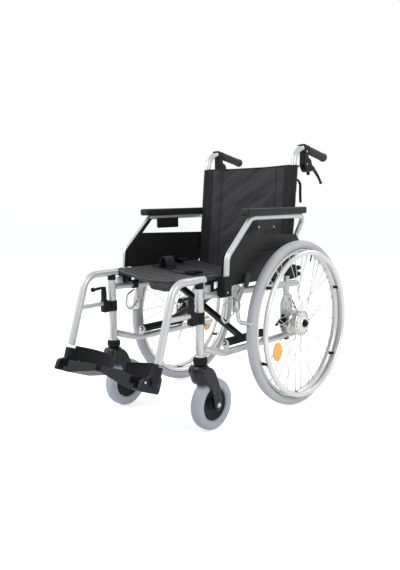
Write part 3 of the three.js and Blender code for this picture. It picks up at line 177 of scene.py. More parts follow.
floor_mesh = bpy.data.meshes.new("floor")
floor_mesh.from_pydata([(-30, -30, 0), (30, -30, 0), (30, 30, 0), (-30, 30, 0)], [], [(0, 1, 2, 3)])
floor = linked("floor", floor_mesh)
floor.location.z = -0.0008
ground = bpy.data.materials.new("white_ground")
ground.use_nodes = True
ground.node_tree.nodes.clear()
matt = new_node(ground.node_tree, "BsdfDiffuse", {"Color": (0.9, 0.9, 0.9, 1)})
glow = new_node(ground.node_tree, "Emission", {"Color": (1, 1, 1, 1), "Strength": 0.52})
both = new_node(ground.node_tree, "AddShader", {0: matt.outputs[0], 1: glow.outputs[0]})
shade = new_node(ground.node_tree, "MixShader", {0: seen_as_white(ground.node_tree), 1: matt.outputs[0],
                                                 2: both.outputs[0]})
new_node(ground.node_tree, "OutputMaterial", {"Surface": shade.outputs[0]})
floor_mesh.materials.append(ground)
print("three lamps and a white floor")

# %% [markdown]
# Every finish starts from one plain recipe: a colour that drifts a little over the surface,
# a roughness that varies, and a fine bump. Painted steel, moulded plastic and rubber differ
# in those amounts. Cloth, webbing and tyre tread then get patterns of their own on top.

# %% The recipe for a finish
FINISHES = {}


def surface(name, colour, roughness, metallic=0.0, grain=900, bump=0.12, drift=0.12, depth=0.0003,
            sheen=0.0, gloss=0.5):
    """A principled material with drifting colour; returns the parts that a pattern can join."""
    made = bpy.data.materials.new(name)
    made.use_nodes = True
    tree = made.node_tree
    tree.nodes.clear()
    place = new_node(tree, "TexCoord").outputs["Object"]
    cloud = new_node(tree, "TexNoise", {"Vector": place, "Scale": 14, "Detail": 3})
    fine = new_node(tree, "TexNoise", {"Vector": place, "Scale": grain, "Detail": 4, "Roughness": 0.6})
    dark = tuple(c * (1 - drift) for c in colour) + (1,)
    pale = tuple(min(1, c * (1 + drift)) for c in colour) + (1,)
    tint = new_node(tree, "Mix", {0: cloud.outputs["Fac"], 6: dark, 7: pale}, data_type="RGBA")
    rough = new_node(tree, "MapRange", {0: fine.outputs["Fac"], 3: roughness - 0.05, 4: roughness + 0.07})
    relief = new_node(tree, "Bump", {"Height": fine.outputs["Fac"], "Strength": bump, "Distance": depth})
    shader = new_node(tree, "BsdfPrincipled", {
        "Base Color": tint.outputs[2], "Roughness": rough.outputs[0], "Normal": relief.outputs[0],
        "Metallic": metallic, "Sheen Weight": sheen, "Specular IOR Level": gloss,
    })
    new_node(tree, "OutputMaterial", {"Surface": shader.outputs[0]})
    FINISHES[name] = made
    return tree, place, tint, relief, shader


surface("silver_paint", (0.55, 0.56, 0.57), 0.32, 0.5, grain=2600, bump=0.06, drift=0.05)
surface("black_plastic", (0.0090, 0.0094, 0.0105), 0.46, grain=1600, bump=0.25, drift=0.25, gloss=0.14)
surface("grip_rubber", (0.042, 0.042, 0.044), 0.7, grain=700, bump=0.4, gloss=0.3)
surface("cable_sheath", (0.012, 0.012, 0.013), 0.35, grain=1200, bump=0.1, gloss=0.35)
surface("fork_plastic", (0.0120, 0.0132, 0.0162), 0.34, grain=1300, bump=0.3, drift=0.2, gloss=0.27)
surface("footplate_plastic", (0.0115, 0.0130, 0.0162), 0.42, grain=900, bump=0.4, drift=0.2, gloss=0.19)
surface("pad_skin", (0.0165, 0.0170, 0.0160), 0.46, grain=500, bump=0.5, drift=0.2, depth=0.0004, gloss=0.2)
surface("panel_plastic", (0.0115, 0.0125, 0.011), 0.4, grain=420, bump=0.35, drift=0.25, gloss=0.2)
surface("black_paint", (0.014, 0.014, 0.015), 0.36, 0.1, grain=1500, bump=0.08, gloss=0.4)
surface("caster_tyre_grey", (0.40, 0.44, 0.49), 0.62, grain=500, bump=0.15, drift=0.05)
print("plain finishes:", ", ".join(FINISHES))

# %% [markdown]
# Bright metal is brushed or polished, so its grain is stretched along one way. The rims are
# anodised alloy, paler than the paint, and the small steel parts are plated with zinc.

# %% Bright metals
for name, colour, roughness, metallic in (
    ("wheel_alloy", (0.68, 0.68, 0.66), 0.30, 0.55),
    ("zinc_steel", (0.56, 0.56, 0.54), 0.34, 0.75),
):
    tree, place, tint, relief, shader = surface(name, colour, roughness, metallic, drift=0.1)
    stretched = new_node(tree, "Mapping", {"Vector": place, "Scale": (120, 900, 900)})
    scratches = new_node(tree, "TexNoise", {"Vector": stretched.outputs[0], "Scale": 1.0, "Detail": 2})
    tree.links.new(scratches.outputs["Fac"], relief.inputs["Height"])
    relief.inputs["Strength"].default_value = 0.15
print("bright metals: wheel_alloy, zinc_steel")

# %% [markdown]
# The seat and back are woven polyamide, the belts are webbing. A weave is two sets of fine
# waves crossing at right angles. They are made from the position, so they need no unwrapping,
# and a soft sheen lifts the folds the way the photograph shows on the seat.

# %% Woven cloth
def woven(name, colour, pitch, roughness, sheen, turns, strength=0.5, gloss=0.15):
    tree, place, tint, relief, shader = surface(name, colour, roughness, sheen=sheen, drift=0.3,
                                                gloss=gloss)
    waves = []
    for turn in turns:
        turned_place = new_node(tree, "Mapping", {"Vector": place, "Rotation": turn})
        wave = new_node(tree, "TexWave", {"Vector": turned_place.outputs[0], "Scale": 0.314 / pitch},
                        bands_direction="X")
        waves.append(wave.outputs["Fac"])
    cross = maths(tree, "MULTIPLY", *waves)
    tree.links.new(cross, relief.inputs["Height"])
    relief.inputs["Strength"].default_value = strength
    thread = new_node(tree, "Mix", {0: cross, 6: tint.outputs[2], 7: tuple(c * 1.7 for c in colour) + (1,)},
                      data_type="RGBA")
    tree.links.new(thread.outputs[2], shader.inputs["Base Color"])


ACROSS_AND_DEEP = [(0, 0, 0), (0, 0, radians(90))]
ACROSS_AND_UP = [(0, 0, 0), (0, radians(90), 0)]
woven("seat_cloth", (0.021, 0.0205, 0.023), 0.0016, 0.45, 0.12, ACROSS_AND_DEEP, gloss=0.22)
woven("back_cloth", (0.031, 0.029, 0.031), 0.0016, 0.62, 0.12, ACROSS_AND_UP)
woven("strap_cloth", (0.014, 0.014, 0.015), 0.0022, 0.7, 0.06, ACROSS_AND_UP)
woven("belt_webbing", (0.020, 0.019, 0.024), 0.0022, 0.6, 0.1, ACROSS_AND_DEEP)
print("woven cloths: seat, back, strap, belt")

# %% [markdown]
# The rear tyres are grey rubber with a fine road tread: rows of small blocks round the
# crown. The rows follow the angle round the axle, which two coordinates and an arctangent
# give, so the pattern closes on itself without a seam.

# %% Tyre tread
TREAD_BLOCKS = 210
tree, place, tint, relief, shader = surface("tyre_grey", (0.51, 0.53, 0.55), 0.66, grain=600, bump=0.3,
                                            drift=0.06)
from_axle = new_node(tree, "Mapping", {"Vector": place, "Location": -placed((0, 0, AXLE_Z))})
x, y, z = new_node(tree, "SeparateXYZ", {0: from_axle.outputs[0]}).outputs
count = maths(tree, "MULTIPLY", maths(tree, "ARCTAN2", y, z), TREAD_BLOCKS)
zigzag = maths(tree, "PINGPONG", maths(tree, "MULTIPLY", x, 260.0), 2.0)
blocks = maths(tree, "SINE", maths(tree, "ADD", count, zigzag))
squares = maths(tree, "ADD", maths(tree, "MULTIPLY", y, y), maths(tree, "MULTIPLY", z, z))
radius = maths(tree, "POWER", squares, 0.5)
crown = new_node(tree, "MapRange", {0: radius, 1: 0.288, 2: 0.293, 3: 0.0, 4: 1.0})
tread = maths(tree, "MULTIPLY", blocks, crown.outputs[0])
tree.links.new(tread, relief.inputs["Height"])
relief.inputs["Strength"].default_value = 0.24
relief.inputs["Distance"].default_value = 0.0008
# Painted shade and light: the colour is darkened a little in the grooves between the tread blocks and
# lightened a little on the blocks' tops.
painted_tread_shade = new_node(tree, "MapRange", {0: tread, 1: -1.0, 2: 1.0, 3: 0.95, 4: 1.04})
shaded = new_node(tree, "VectorMath", {0: tint.outputs[2], 3: painted_tread_shade.outputs[0]}, operation="SCALE")
tree.links.new(shaded.outputs[0], shader.inputs["Base Color"])
print("tread of", TREAD_BLOCKS, "block rows")

# %% [markdown]
# Most of a wheelchair is bent tube. A tube here is a circle swept along a line whose corners
# are rounded with arcs, as a tube bender makes them. The same sweep with a flat section makes
# webbing, and a list of sizes along the line tapers a lever.

# %% Sweeping a section along a bent line
def rounded(corners, bend, steps=8):
    """The corners joined by straight runs, with each inner corner turned into an arc."""
    corners = [Vector(c) for c in corners]
    points = [corners[0]]
    for before, corner, after in zip(corners, corners[1:], corners[2:]):
        into = (corner - before).normalized()
        out = (after - corner).normalized()
        turn = into.angle(out)
        if turn < 0.01:
            points.append(corner)
            continue
        reach = min(bend * tan(turn / 2), (corner - before).length * 0.49, (after - corner).length * 0.49)
        arc = reach / tan(turn / 2)
        axis = into.cross(out).normalized()
        centre = corner - into * reach + axis.cross(into) * arc
        start = corner - into * reach - centre
        for i in range(steps + 1):
            points.append(centre + Matrix.Rotation(turn * i / steps, 3, axis) @ start)
    points.append(corners[-1])
    return points


def loft(loops):
    """A closed solid through outlines that have the same number of points."""
    count = len(loops[0])
    verts = [Vector(p) for loop in loops for p in loop]
    last = (len(loops) - 1) * count
    faces = []
    for here in range(0, last, count):
        for k in range(count):
            n = (k + 1) % count
            faces.append([here + k, here + n, here + count + n, here + count + k])
    faces += [list(range(count))[::-1], [last + k for k in range(count)]]
    return verts, faces


def ellipse(wide, high, count):
    """Places round an ellipse."""
    turns = [2 * pi * k / count for k in range(count)]
    return [(wide * cos(a), high * sin(a)) for a in turns]


def swept(points, section, sides=20, scale=None, up=None):
    """A closed solid: a radius or a list of (across, up) places carried along the points."""
    points = [Vector(p) for p in points]
    if not hasattr(section, "__len__"):
        section = ellipse(section, section, sides)
    run = (points[1] - points[0]).normalized()
    lift = Vector(up) if up else (Vector((0, 0, 1)) if abs(run.z) < 0.8 else Vector((1, 0, 0)))
    loops = []
    last = len(points) - 1
    for i, point in enumerate(points):
        run = (points[min(i + 1, last)] - points[max(i - 1, 0)]).normalized()
        across = run.cross(lift).normalized()
        lift = across.cross(run)
        size = scale[i] if scale else 1
        loops.append([point + across * (u * size) + lift * (v * size) for u, v in section])
    return loft(loops)


def rod(start, end, radius, sides=20):
    return swept([start, end], radius, sides)


def plane_rod(start, end, radius, sides=20):
    """A rod between two (y, z) places in the plane of the tubes."""
    return rod(*in_plane(start, end), radius, sides)


print("a right-angle bend has", len(rounded([(0, 0, 0), (0, 9, 0), (0, 9, 9)], 4)), "points")

# %% [markdown]
# Wheels, hubs, knobs and grips are turned parts: a profile spun round an axis, as on a lathe.
# Plates and moulded brackets are cut from an outline with rounded corners, given a thickness,
# and bevelled so that their edges catch the light.

# %% Turning and cutting out
def turned(profile, centre, axis=(1, 0, 0), steps=48):
    """The profile, as (radius, along) places, spun round the axis; off the axis its ends join."""
    axis = Vector(axis).normalized()
    first = axis.orthogonal().normalized()
    second = axis.cross(first)
    centre = Vector(centre)
    verts = []
    for k in range(steps):
        angle = 2 * pi * k / steps
        out = first * cos(angle) + second * sin(angle)
        verts += [centre + out * radius + axis * along for radius, along in profile]
    count = len(profile)
    faces = []
    for k in range(steps):
        here, there = k * count, ((k + 1) % steps) * count
        for j in range(count if profile[0][0] > 0 else count - 1):
            n = (j + 1) % count
            faces.append([here + j, here + n, there + n, there + j])
    return verts, faces


def cut_corners(points, radius, steps=4):
    """An outline whose corners are rounded by at most this radius."""
    result = []
    places = [Vector(p) for p in points]
    for i, corner in enumerate(places):
        before = places[i - 1] - corner
        after = places[(i + 1) % len(places)] - corner
        reach = min(radius, before.length * 0.45, after.length * 0.45)
        start = corner + before.normalized() * reach
        end = corner + after.normalized() * reach
        for k in range(steps + 1):
            t = k / steps
            result.append(start.lerp(corner, t).lerp(corner.lerp(end, t), t))
    return result


def rect(a, b, c, d):
    """The outline of a rectangle, from one corner to the corner opposite."""
    return [(a, b), (c, b), (c, d), (a, d)]


def slab(points, low, high, axis="X", corner=0.0, steps=4):
    """A plate: an outline in the other two directions, from low to high along the axis."""
    flat = cut_corners(points, corner, steps) if corner else points
    at = {"X": lambda a, b, t: (t, a, b), "Y": lambda a, b, t: (a, t, b), "Z": lambda a, b, t: (a, b, t)}
    return loft([[at[axis](a, b, t) for a, b in flat] for t in (low, high)])


def together(*solids):
    verts, faces = [], []
    for more_verts, more_faces in solids:
        start = len(verts)
        verts += more_verts
        faces += [[i + start for i in face] for face in more_faces]
    return verts, faces


def ball(centre, radius, steps=20):
    half = [(radius * sin(pi * i / 10), -radius * cos(pi * i / 10)) for i in range(11)]
    return turned(half, centre, (0, 0, 1), steps)


print("helpers: turned, slab, together, ball")

# %% [markdown]
# One helper turns a solid into a scene object: it mirrors it for the right-hand side, cleans
# and smooths it, softens its edges, gives it a finish and makes it ride on its body.

# %% From a solid to a piece
def closed_mesh(name, solid, side):
    """A solid's mesh, mirrored for the right-hand side, with its faces looking outwards."""
    mesh = bpy.data.meshes.new(name)
    verts, faces = solid
    mesh.from_pydata([placed((v.x * side, v.y, v.z)) for v in map(Vector, verts)], [], faces)
    shape = bmesh.new()
    shape.from_mesh(mesh)
    bmesh.ops.remove_doubles(shape, verts=shape.verts, dist=2e-6)
    bmesh.ops.recalc_face_normals(shape, faces=shape.faces)
    shape.to_mesh(mesh)
    shape.free()
    return mesh


def smooth(mesh, sharp):
    """Shade the mesh smooth, apart from edges sharper than this many degrees."""
    mesh.polygons.foreach_set("use_smooth", [True] * len(mesh.polygons))
    mesh.set_sharp_from_angle(angle=radians(sharp))


def soften_edges(made, width, segments, angle):
    edge = made.modifiers.new("soft_edges", "BEVEL")
    edge.width, edge.segments, edge.angle_limit = width, segments, angle
    edge.limit_method = "ANGLE"
    edge.harden_normals = True


def piece(name, solid, finish, body, side=0, soften=0.0, sharp=38, swap=None, segments=2):
    """A solid, or a list of them, as one object; a side puts its name before every other name."""
    prefix = PREFIX[side]
    solid = together(*solid) if isinstance(solid, list) else solid
    mesh = closed_mesh(prefix + name, solid, side or 1)
    smooth(mesh, sharp)
    made = linked(prefix + name, mesh)
    mesh.materials.append(FINISHES[finish])
    if soften:
        soften_edges(made, soften / 1000, segments, radians(sharp))
    if body:
        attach(made, body if body.startswith("brace_") else prefix + body)
    if swap:
        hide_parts(prefix + swap)
    return made


print("sides:", [PREFIX[side] for side in SIDES])

# %% [markdown]
# Each hand brake pulls a thin cable. It leaves the brake under the handle, runs down behind
# the back tube inside the cloth's edge, and crosses out to the drum in the wheel's hub. Its
# route has its own points, and a smooth curve through them gives its real length.

# %% Brake cables
CABLE_RADIUS = 2.5
CABLE_ROUTE = (
    (210.5, 133.5, 890), (210.5, 128.5, 890), (206, 105.9, 876), (202, 92.5, 850), (202, 87.1, 820),
    (202, 80.4, 760), (202, 66.9, 640), (202, 53.5, 520), (202, 44.5, 440), (TUBE_X, 47, 398),
    (240, 44.5, 356), (248, 44, 326), (251.5, 31, 306.25),
)


def smooth_line(places, steps):
    """A smooth curve through the places, with this many steps between each two."""
    places = [Vector(p) for p in places]
    places = [places[0] * 2 - places[1]] + places + [places[-1] * 2 - places[-2]]
    points = []
    for a, b, c, d in zip(places, places[1:], places[2:], places[3:]):
        for i in range(steps):
            t = i / steps
            points.append(b + ((c - a) * t + (2 * a - 5 * b + 4 * c - d) * t ** 2
                               + (3 * b - 3 * c + d - a) * t ** 3) / 2)
    return points + [places[-2]]


def line_length(points):
    return sum((b - a).length for a, b in zip(points, points[1:]))


for side in SIDES:
    name = PREFIX[side] + "brake_cable"
    path = [placed((p.x * side, p.y, p.z)) for p in smooth_line(CABLE_ROUTE, 6)]
    curve = bpy.data.curves.new(name + "_sheath", "CURVE")
    curve.dimensions = "3D"
    curve.bevel_depth = CABLE_RADIUS / 1000
    curve.bevel_resolution = 3
    curve.use_fill_caps = True
    spline = curve.splines.new("POLY")
    spline.points.add(len(path) - 1)
    for spot, point in zip(spline.points, path):
        spot.co = (*point, 1)
    spline.use_smooth = True
    cable = linked(name + "_sheath", curve)
    curve.materials.append(FINISHES["cable_sheath"])
    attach(cable, PREFIX[side] + "frame")
    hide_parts(name)
    print(name, "is", round(line_length(path), 4), "m long")

# %% [markdown]
# The rear wheel is a wire wheel on a brake hub. The rim is a hollow alloy section, drawn as
# one profile and spun. Spokes leave two flanges, half leaning forwards and half back, and
# each screws into a plated nipple at the rim.

# %% Rear wheels: rim, hub and spokes
AXLE = (0, 0, AXLE_Z)
WHEEL_X = 284
RIM_PROFILE = [(273.6, -11), (273.6, 11), (268, 11.3), (264, 11), (261, 8.5), (259, 4.5), (258.6, 0),
               (259, -4.5), (261, -8.5), (264, -11), (268, -11.3)]
HUB_PROFILE = [(6.8, 266), (44.5, 266), (47, 267.5), (47, 271), (43.5, 273), (41, 276), (41, 280),
               (43.5, 282), (43.5, 293), (47, 296), (47, 300.5), (45.5, 302), (40, 302.4), (39, 300.6),
               (36.5, 300.6), (35.5, 303), (33, 305.8), (30, 306.2), (23, 308), (21, 310.5), (19, 312),
               (6.8, 312)]
SPOKES = 36
SPOKE_LEAN = radians(52)


def round_the_axle(radius, angle, x):
    return (x, radius * sin(angle), AXLE_Z + radius * cos(angle))


def spoke_ends():
    for i in range(SPOKES):
        out = -1 if i % 2 else 1
        forwards = 1 if (i // 2) % 2 else -1
        at_rim = 2 * pi * (i + 0.5) / SPOKES
        head_x = (271 if out < 0 else 297) - (out * 5 if forwards > 0 else 0)
        yield (round_the_axle(42.5, at_rim + forwards * SPOKE_LEAN, head_x),
               round_the_axle(260, at_rim, WHEEL_X + out * 3))


for side in SIDES:
    rim = turned([(r, x + WHEEL_X) for r, x in RIM_PROFILE], AXLE, steps=128)
    hub = turned(HUB_PROFILE, AXLE, steps=64)
    piece("rim_and_hub", [rim, hub], "wheel_alloy", "wheel", side, sharp=30, swap="rear_wheel")
    wires = [rod(head, foot, 1.15, 6) for head, foot in spoke_ends()]
    heads = [turned([(0, -1.6), (3.2, -1.2), (3.2, 1.2), (0, 1.6)], head, steps=8)
             for head, foot in spoke_ends()]
    nipples = [rod(foot + (head - foot).normalized() * 11, foot, 2, 8)
               for head, foot in ((Vector(head), Vector(foot)) for head, foot in spoke_ends())]
    piece("spokes", [*wires, *heads, *nipples], "zinc_steel", "wheel", side)
    # Painted shade: thin black discs round the hub's outer flange stand for the shade in small hollows
    # there; no hollow is cut.
    pockets = [turned(rect(0, 302.2, 2.4, 302.7), round_the_axle(42.6, 0.35 * i, 0), steps=12)
               for i in range(18)]
    ring = turned([(13, 311.4), (15, 311.4), (15.4, 312.4), (14.8, 313.6), (13, 313.6)], AXLE, steps=40)
    valve = rod(round_the_axle(259, 0.35, WHEEL_X), round_the_axle(236, 0.35, WHEEL_X), 2.6, 10)
    piece("hub_ring_and_valve", [ring, valve, *pockets], "black_plastic", "wheel", side, sharp=30)
print("spokes:", len(wires), "on each wheel")

# %% [markdown]
# The tyre is a grey pneumatic one. Its section is an oval that is a little flatter at the
# crown, with a thin raised line where its side meets the rim. The user pushes on the hand
# rim, a plain polished tube that stands off the rim on six black spacers.

# %% Rear tyres and hand rims
TYRE_MIDDLE = 289.5
HAND_RIM_RADIUS = 261.6
HAND_RIM_X = 323
SPACER_TURN = radians(6)


def squarish(wide, high, count, square):
    """An ellipse whose quarters are filled out by a power below one."""
    return [(wide * copysign(abs(c) ** square, c), high * copysign(abs(s) ** square, s))
            for c, s in ellipse(1, 1, count)]


def tyre_section(middle, deep, wide, x, count, square):
    return [(middle + u, x + v) for u, v in squarish(deep, wide, count, square)]


for side in SIDES:
    section = tyre_section(TYRE_MIDDLE, 15.5, 18, WHEEL_X, 28, 0.9)
    beads = [turned([(279 + 0.9 * cos(a), WHEEL_X + way * 13.6 + 0.9 * sin(a))
                     for a in (0, 1.57, 3.14, 4.71)], AXLE, steps=128) for way in (-1, 1)]
    piece("road_tyre", [turned(section, AXLE, steps=160), *beads], "tyre_grey", "wheel", side,
          swap="rear_tyre")
    ring = [(HAND_RIM_RADIUS + u, HAND_RIM_X + v) for u, v in ellipse(9, 9, 20)]
    piece("push_rim", turned(ring, AXLE, steps=144), "wheel_alloy", "wheel", side, swap="hand_rim")
    spacers = []
    for i in range(6):
        foot = Vector(round_the_axle(262.5, SPACER_TURN + 2 * pi * i / 6, 293.6))
        spacers.append(turned([(0, 0), (6.4, 0), (6.4, 3), (5.2, 5), (5.2, 16), (6, 18), (6, 21.4),
                               (0, 22)], foot, steps=16))
    piece("rim_spacers", spacers, "black_plastic", "wheel", side, sharp=50)
print("tyre", 2 * AXLE_Z, "mm across, hand rim", 2 * HAND_RIM_RADIUS, "mm")

# %% [markdown]
# Behind each wheel a steel plate carries the axle, with spare holes above it, and the drum
# brake's plate stands between that and the hub. The axle pulls out: a black button at its
# outer end frees it.

# %% Axle plates, drum plates and release buttons
def baked(made):
    """The object's mesh with its modifiers carried out."""
    return bpy.data.meshes.new_from_object(made.evaluated_get(bpy.context.evaluated_depsgraph_get()))


def cut_away(made, tool_solid, side):
    """Cut a solid out of a piece, and keep the result as its mesh."""
    cutter = linked("cutter", closed_mesh("cutter", tool_solid, side))
    edge = made.modifiers.get("soft_edges")
    settings = (edge.width, edge.segments, edge.angle_limit) if edge else None
    if edge:
        made.modifiers.remove(edge)
    step = made.modifiers.new("cut", "BOOLEAN")
    step.operation = "DIFFERENCE"
    step.solver = "EXACT"
    step.object = cutter
    made.data = baked(made)
    made.modifiers.remove(made.modifiers["cut"])
    bpy.data.objects.remove(cutter)
    smooth(made.data, 38)
    if settings:
        soften_edges(made, *settings)


def bolt(centre, radius, height, axis=(1, 0, 0), sides=6):
    """A bolt head: six flats with a turned top."""
    return turned([(0, 0), (radius, 0), (radius, height * 0.75), (radius * 0.8, height), (0, height)],
                  centre, axis, sides)


def washer(centre, radius, height, axis=(1, 0, 0)):
    return turned(rect(0, 0, radius, height), centre, axis, 24)


SPARE_HOLES = (37, 67)
PLATE = [(-32, 275), (-19, 262), (41, 262), (41, 402), (-13, 402), (-32, 376)]
for side in SIDES:
    plate = piece("axle_plate", slab(PLATE, 224.4, 230.4, corner=9), "silver_paint", "frame", side,
                  soften=0.9, swap="axle_bracket")
    for rise in SPARE_HOLES:
        cut_away(plate, rod((220, 0, AXLE_Z + rise), (236, 0, AXLE_Z + rise), 6.5, 24), side)
    drum = turned([(13, 252), (36, 252), (38, 254), (38, 256), (41, 257), (44, 258), (44, 265), (0.5, 265),
                   (0.5, 252)], AXLE, steps=64)
    receiver = turned([(0.5, 230), (14.5, 230), (14.5, 238), (13, 240), (13, 259), (0.5, 259)], AXLE,
                      steps=32)
    stub = turned(rect(0.5, 224, 6, 312.4), AXLE, steps=32)
    anchor = slab([(-50, 300), (-36, 296), (-20, 306), (-22, 322), (-46, 322)], 246, 252, corner=5)
    piece("drum_plate", [drum, anchor], "zinc_steel", "frame", side, sharp=30)
    piece("axle_and_receiver", [receiver, stub], "zinc_steel", "frame", side, sharp=30)
    collar = turned([(0.5, 312.4), (11.5, 312.4), (12, 313.5), (12, 318.5), (10.5, 320), (7.6, 320),
                     (7.6, 312.9), (0.5, 312.9)], AXLE, steps=32)
    stop = slab(rect(23, 292, 39, 304.6), 245, 260, corner=2)
    arm = together(slab([(-95, 303), (-90, 301), (-44, 318), (-44, 330), (-56, 330), (-92, 310)], 244.6,
                        250, corner=3), slab([(-68, 294), (-60, 292), (-42, 334), (-48, 341), (-56, 338)],
                                             245.6, 253, corner=3),
                   slab([(-52, 306), (-38, 306), (-38, 326), (-52, 328)], 246, 256, corner=5))
    shield = slab([(-4, 256), (27, 256), (29, 268), (-4, 268)], 250, 265.4, corner=3)
    piece("brake_fittings", [collar, stop, arm, shield], "black_plastic", "frame", side, soften=0.8)
    bolts = [bolt((224.4, 25, z), 7, -5) for z in (280, 330, 385)]
    bolts += [bolt((230.4, 25, z), 7, 5) for z in (280, 330, 385)]
    bolts += [bolt((230.4, -16, 388), 5, 3.5), bolt((252, -30, 314), 4.5, 4)]
    piece("plate_bolts", bolts, "zinc_steel", "frame", side, soften=0.4)
    piece("quick_release", turned([(0, 316.6), (6.9, 316.6), (7, 321), (6, 323), (3, 323.5), (0, 323.5)],
                                  AXLE, steps=32), "black_plastic", "release_button", side,
          swap="release_button")
print("spare axle holes", SPARE_HOLES, "mm above the axle")

# %% [markdown]
# The casters are solid grey tyres on black hubs. Each turns in a moulded fork whose shoulder
# is a wide dome with a short skirt at the front, and whose two arms sweep back and narrow
# towards the bolt. Dome and arms overlap as plain solids. One smoothed skin is then drawn
# round them, so that they run into each other as they would in a mould.

# %% Casters
SWIVEL_Y = -472
CASTER_Y = -420
CASTER_Z = 87.5
FORK_ARM = [(-20, 224), (16, 226), (38, 204), (60, 152), (70, 98), (66, 74), (51, 65), (35, 80), (28, 124),
            (12, 160), (-8, 180), (-24, 204)]
FORK_DOME = [(229.6, 19.5, -19.5, 19.5), (227, 24, -24, 24), (221, 28.5, -28, 29), (212, 31.5, -30, 33),
             (200, 33, -30.5, 37), (188, 33.4, -29.5, 39), (180, 33.2, -27, 38), (172, 32, -22, 34),
             (167, 29, -17, 28)]


def oval(centre_x, centre_y, z, half_x, half_y):
    return [(centre_x + u, centre_y + v, z) for u, v in squarish(half_x, half_y, 40, 0.82)]


def moulded(solids, grain, rounds):
    """Solids grown together into one smooth skin, the way plastic fills one mould."""
    verts, faces = together(*solids)
    mesh = bpy.data.meshes.new("blank")
    mesh.from_pydata([Vector(v) / 1000 for v in verts], [], faces)
    blank = linked("blank", mesh)
    skin = blank.modifiers.new("skin", "REMESH")
    skin.mode = "VOXEL"
    skin.voxel_size = grain / 1000
    ease = blank.modifiers.new("ease", "SMOOTH")
    ease.factor = 0.5
    ease.iterations = rounds
    shape = baked(blank)
    solid = [v.co * 1000 for v in shape.vertices], [list(p.vertices) for p in shape.polygons]
    bpy.data.objects.remove(blank)
    return solid


dome = loft([oval(TUBE_X, SWIVEL_Y + (front + rear) / 2, z, half, (rear - front) / 2)
             for z, half, front, rear in FORK_DOME])
arms = [slab([(SWIVEL_Y + y, z) for y, z in FORK_ARM], TUBE_X + low, TUBE_X + high, corner=14, steps=6)
        for low, high in ((-33.6, -26.4), (26.4, 33.6))]
room = slab(rect(SWIVEL_Y - 14, 150, SWIVEL_Y + 60, 177), 187, 239)
fork = moulded([dome] + arms, 2.0, 5)
for side in SIDES:
    shell = piece("fork", fork, "fork_plastic", "caster", side, sharp=180, swap="caster_fork")
    cut_away(shell, room, side)
    bolts = [bolt((TUBE_X + way * 33.4, CASTER_Y, CASTER_Z), 6.5, way * 4.6) for way in (-1, 1)]
    bolts += [washer((TUBE_X + way * 33.2, CASTER_Y, CASTER_Z), 8, way * 1.2) for way in (-1, 1)]
    piece("caster_bolt", [*bolts, rod((180, CASTER_Y, CASTER_Z), (246, CASTER_Y, CASTER_Z), 6)],
          "zinc_steel", "caster", side, soften=0.5)
    # Painted shade: thin black discs on each fork arm stand for the shade inside two holes; the arms are not
    # cut through.
    piece("fork_hole_shade", [washer((TUBE_X + way * 33, y, z), 5, way * 1.1) for way in (-1, 1)
                         for y, z in ((-423, 107), (-428, 127))], "strap_cloth", "caster", side)
    hub = [(6.8, 25.6), (15, 25.6), (17, 24), (18, 17), (23, 13.5), (40, 13.5), (45, 16), (52.8, 17)]
    hub = hub + [(r, -x) for r, x in reversed(hub)]
    centre = (TUBE_X, CASTER_Y, CASTER_Z)
    piece("caster_hub", turned(hub, centre, steps=64), "black_plastic", "caster_wheel", side,
          swap="caster_wheel", sharp=30)
    section = tyre_section(70.5, 17, 23, 0, 28, 0.78)
    piece("caster_rubber", turned(section, centre, steps=96), "caster_tyre_grey", "caster_wheel", side,
          swap="caster_tyre")
print("fork skin:", len(fork[1]), "faces; caster", 2 * CASTER_Z, "mm across")

# %% [markdown]
# Each side frame is welded from bent tube, sprayed silver. The front post holds the caster's
# swivel in a black ribbed collar at its foot and the legrest's pin at its top. Two rails run
# back past the rear tube to black end caps, and black saddles on the upper one cradle the
# seat's own rail. The rear tube carries the back, the handle and the brake.

# %% Front posts and rails
POST = (TUBE_X, SWIVEL_Y, 0)
RAIL_X, RAIL_Z = 205, 503
SLEEVE_Z = 278


def fluted(profile, centre, ribs=26, depth=0.9):
    """An upright collar whose side is cut in ribs; the profile gives its radius at each height."""
    loops = []
    for radius, z in profile:
        loop = []
        for k in range(ribs * 4):
            cut = depth if k % 4 in (0, 1) else 0
            angle = 2 * pi * k / (ribs * 4)
            loop.append((centre[0] + (radius - cut) * cos(angle), centre[1] + (radius - cut) * sin(angle),
                         z))
        loops.append(loop)
    return loft(loops)


def saddle(y, half, low=440):
    """The cradle that the seat rail drops into; its foot reaches down to the given height."""
    cradle = [(RAIL_X + 11.7 * cos(a), RAIL_Z + 11.7 * sin(a))
              for a in [radians(-15 - 150 * i / 10) for i in range(11)]]
    return slab([(198, low + 4), (TUBE_X, low), (222, low + 4), (219.5, 476), (219.5, 499)] + cradle
                + [(191, 499), (192, 480)], y - half, y + half, axis="Y")


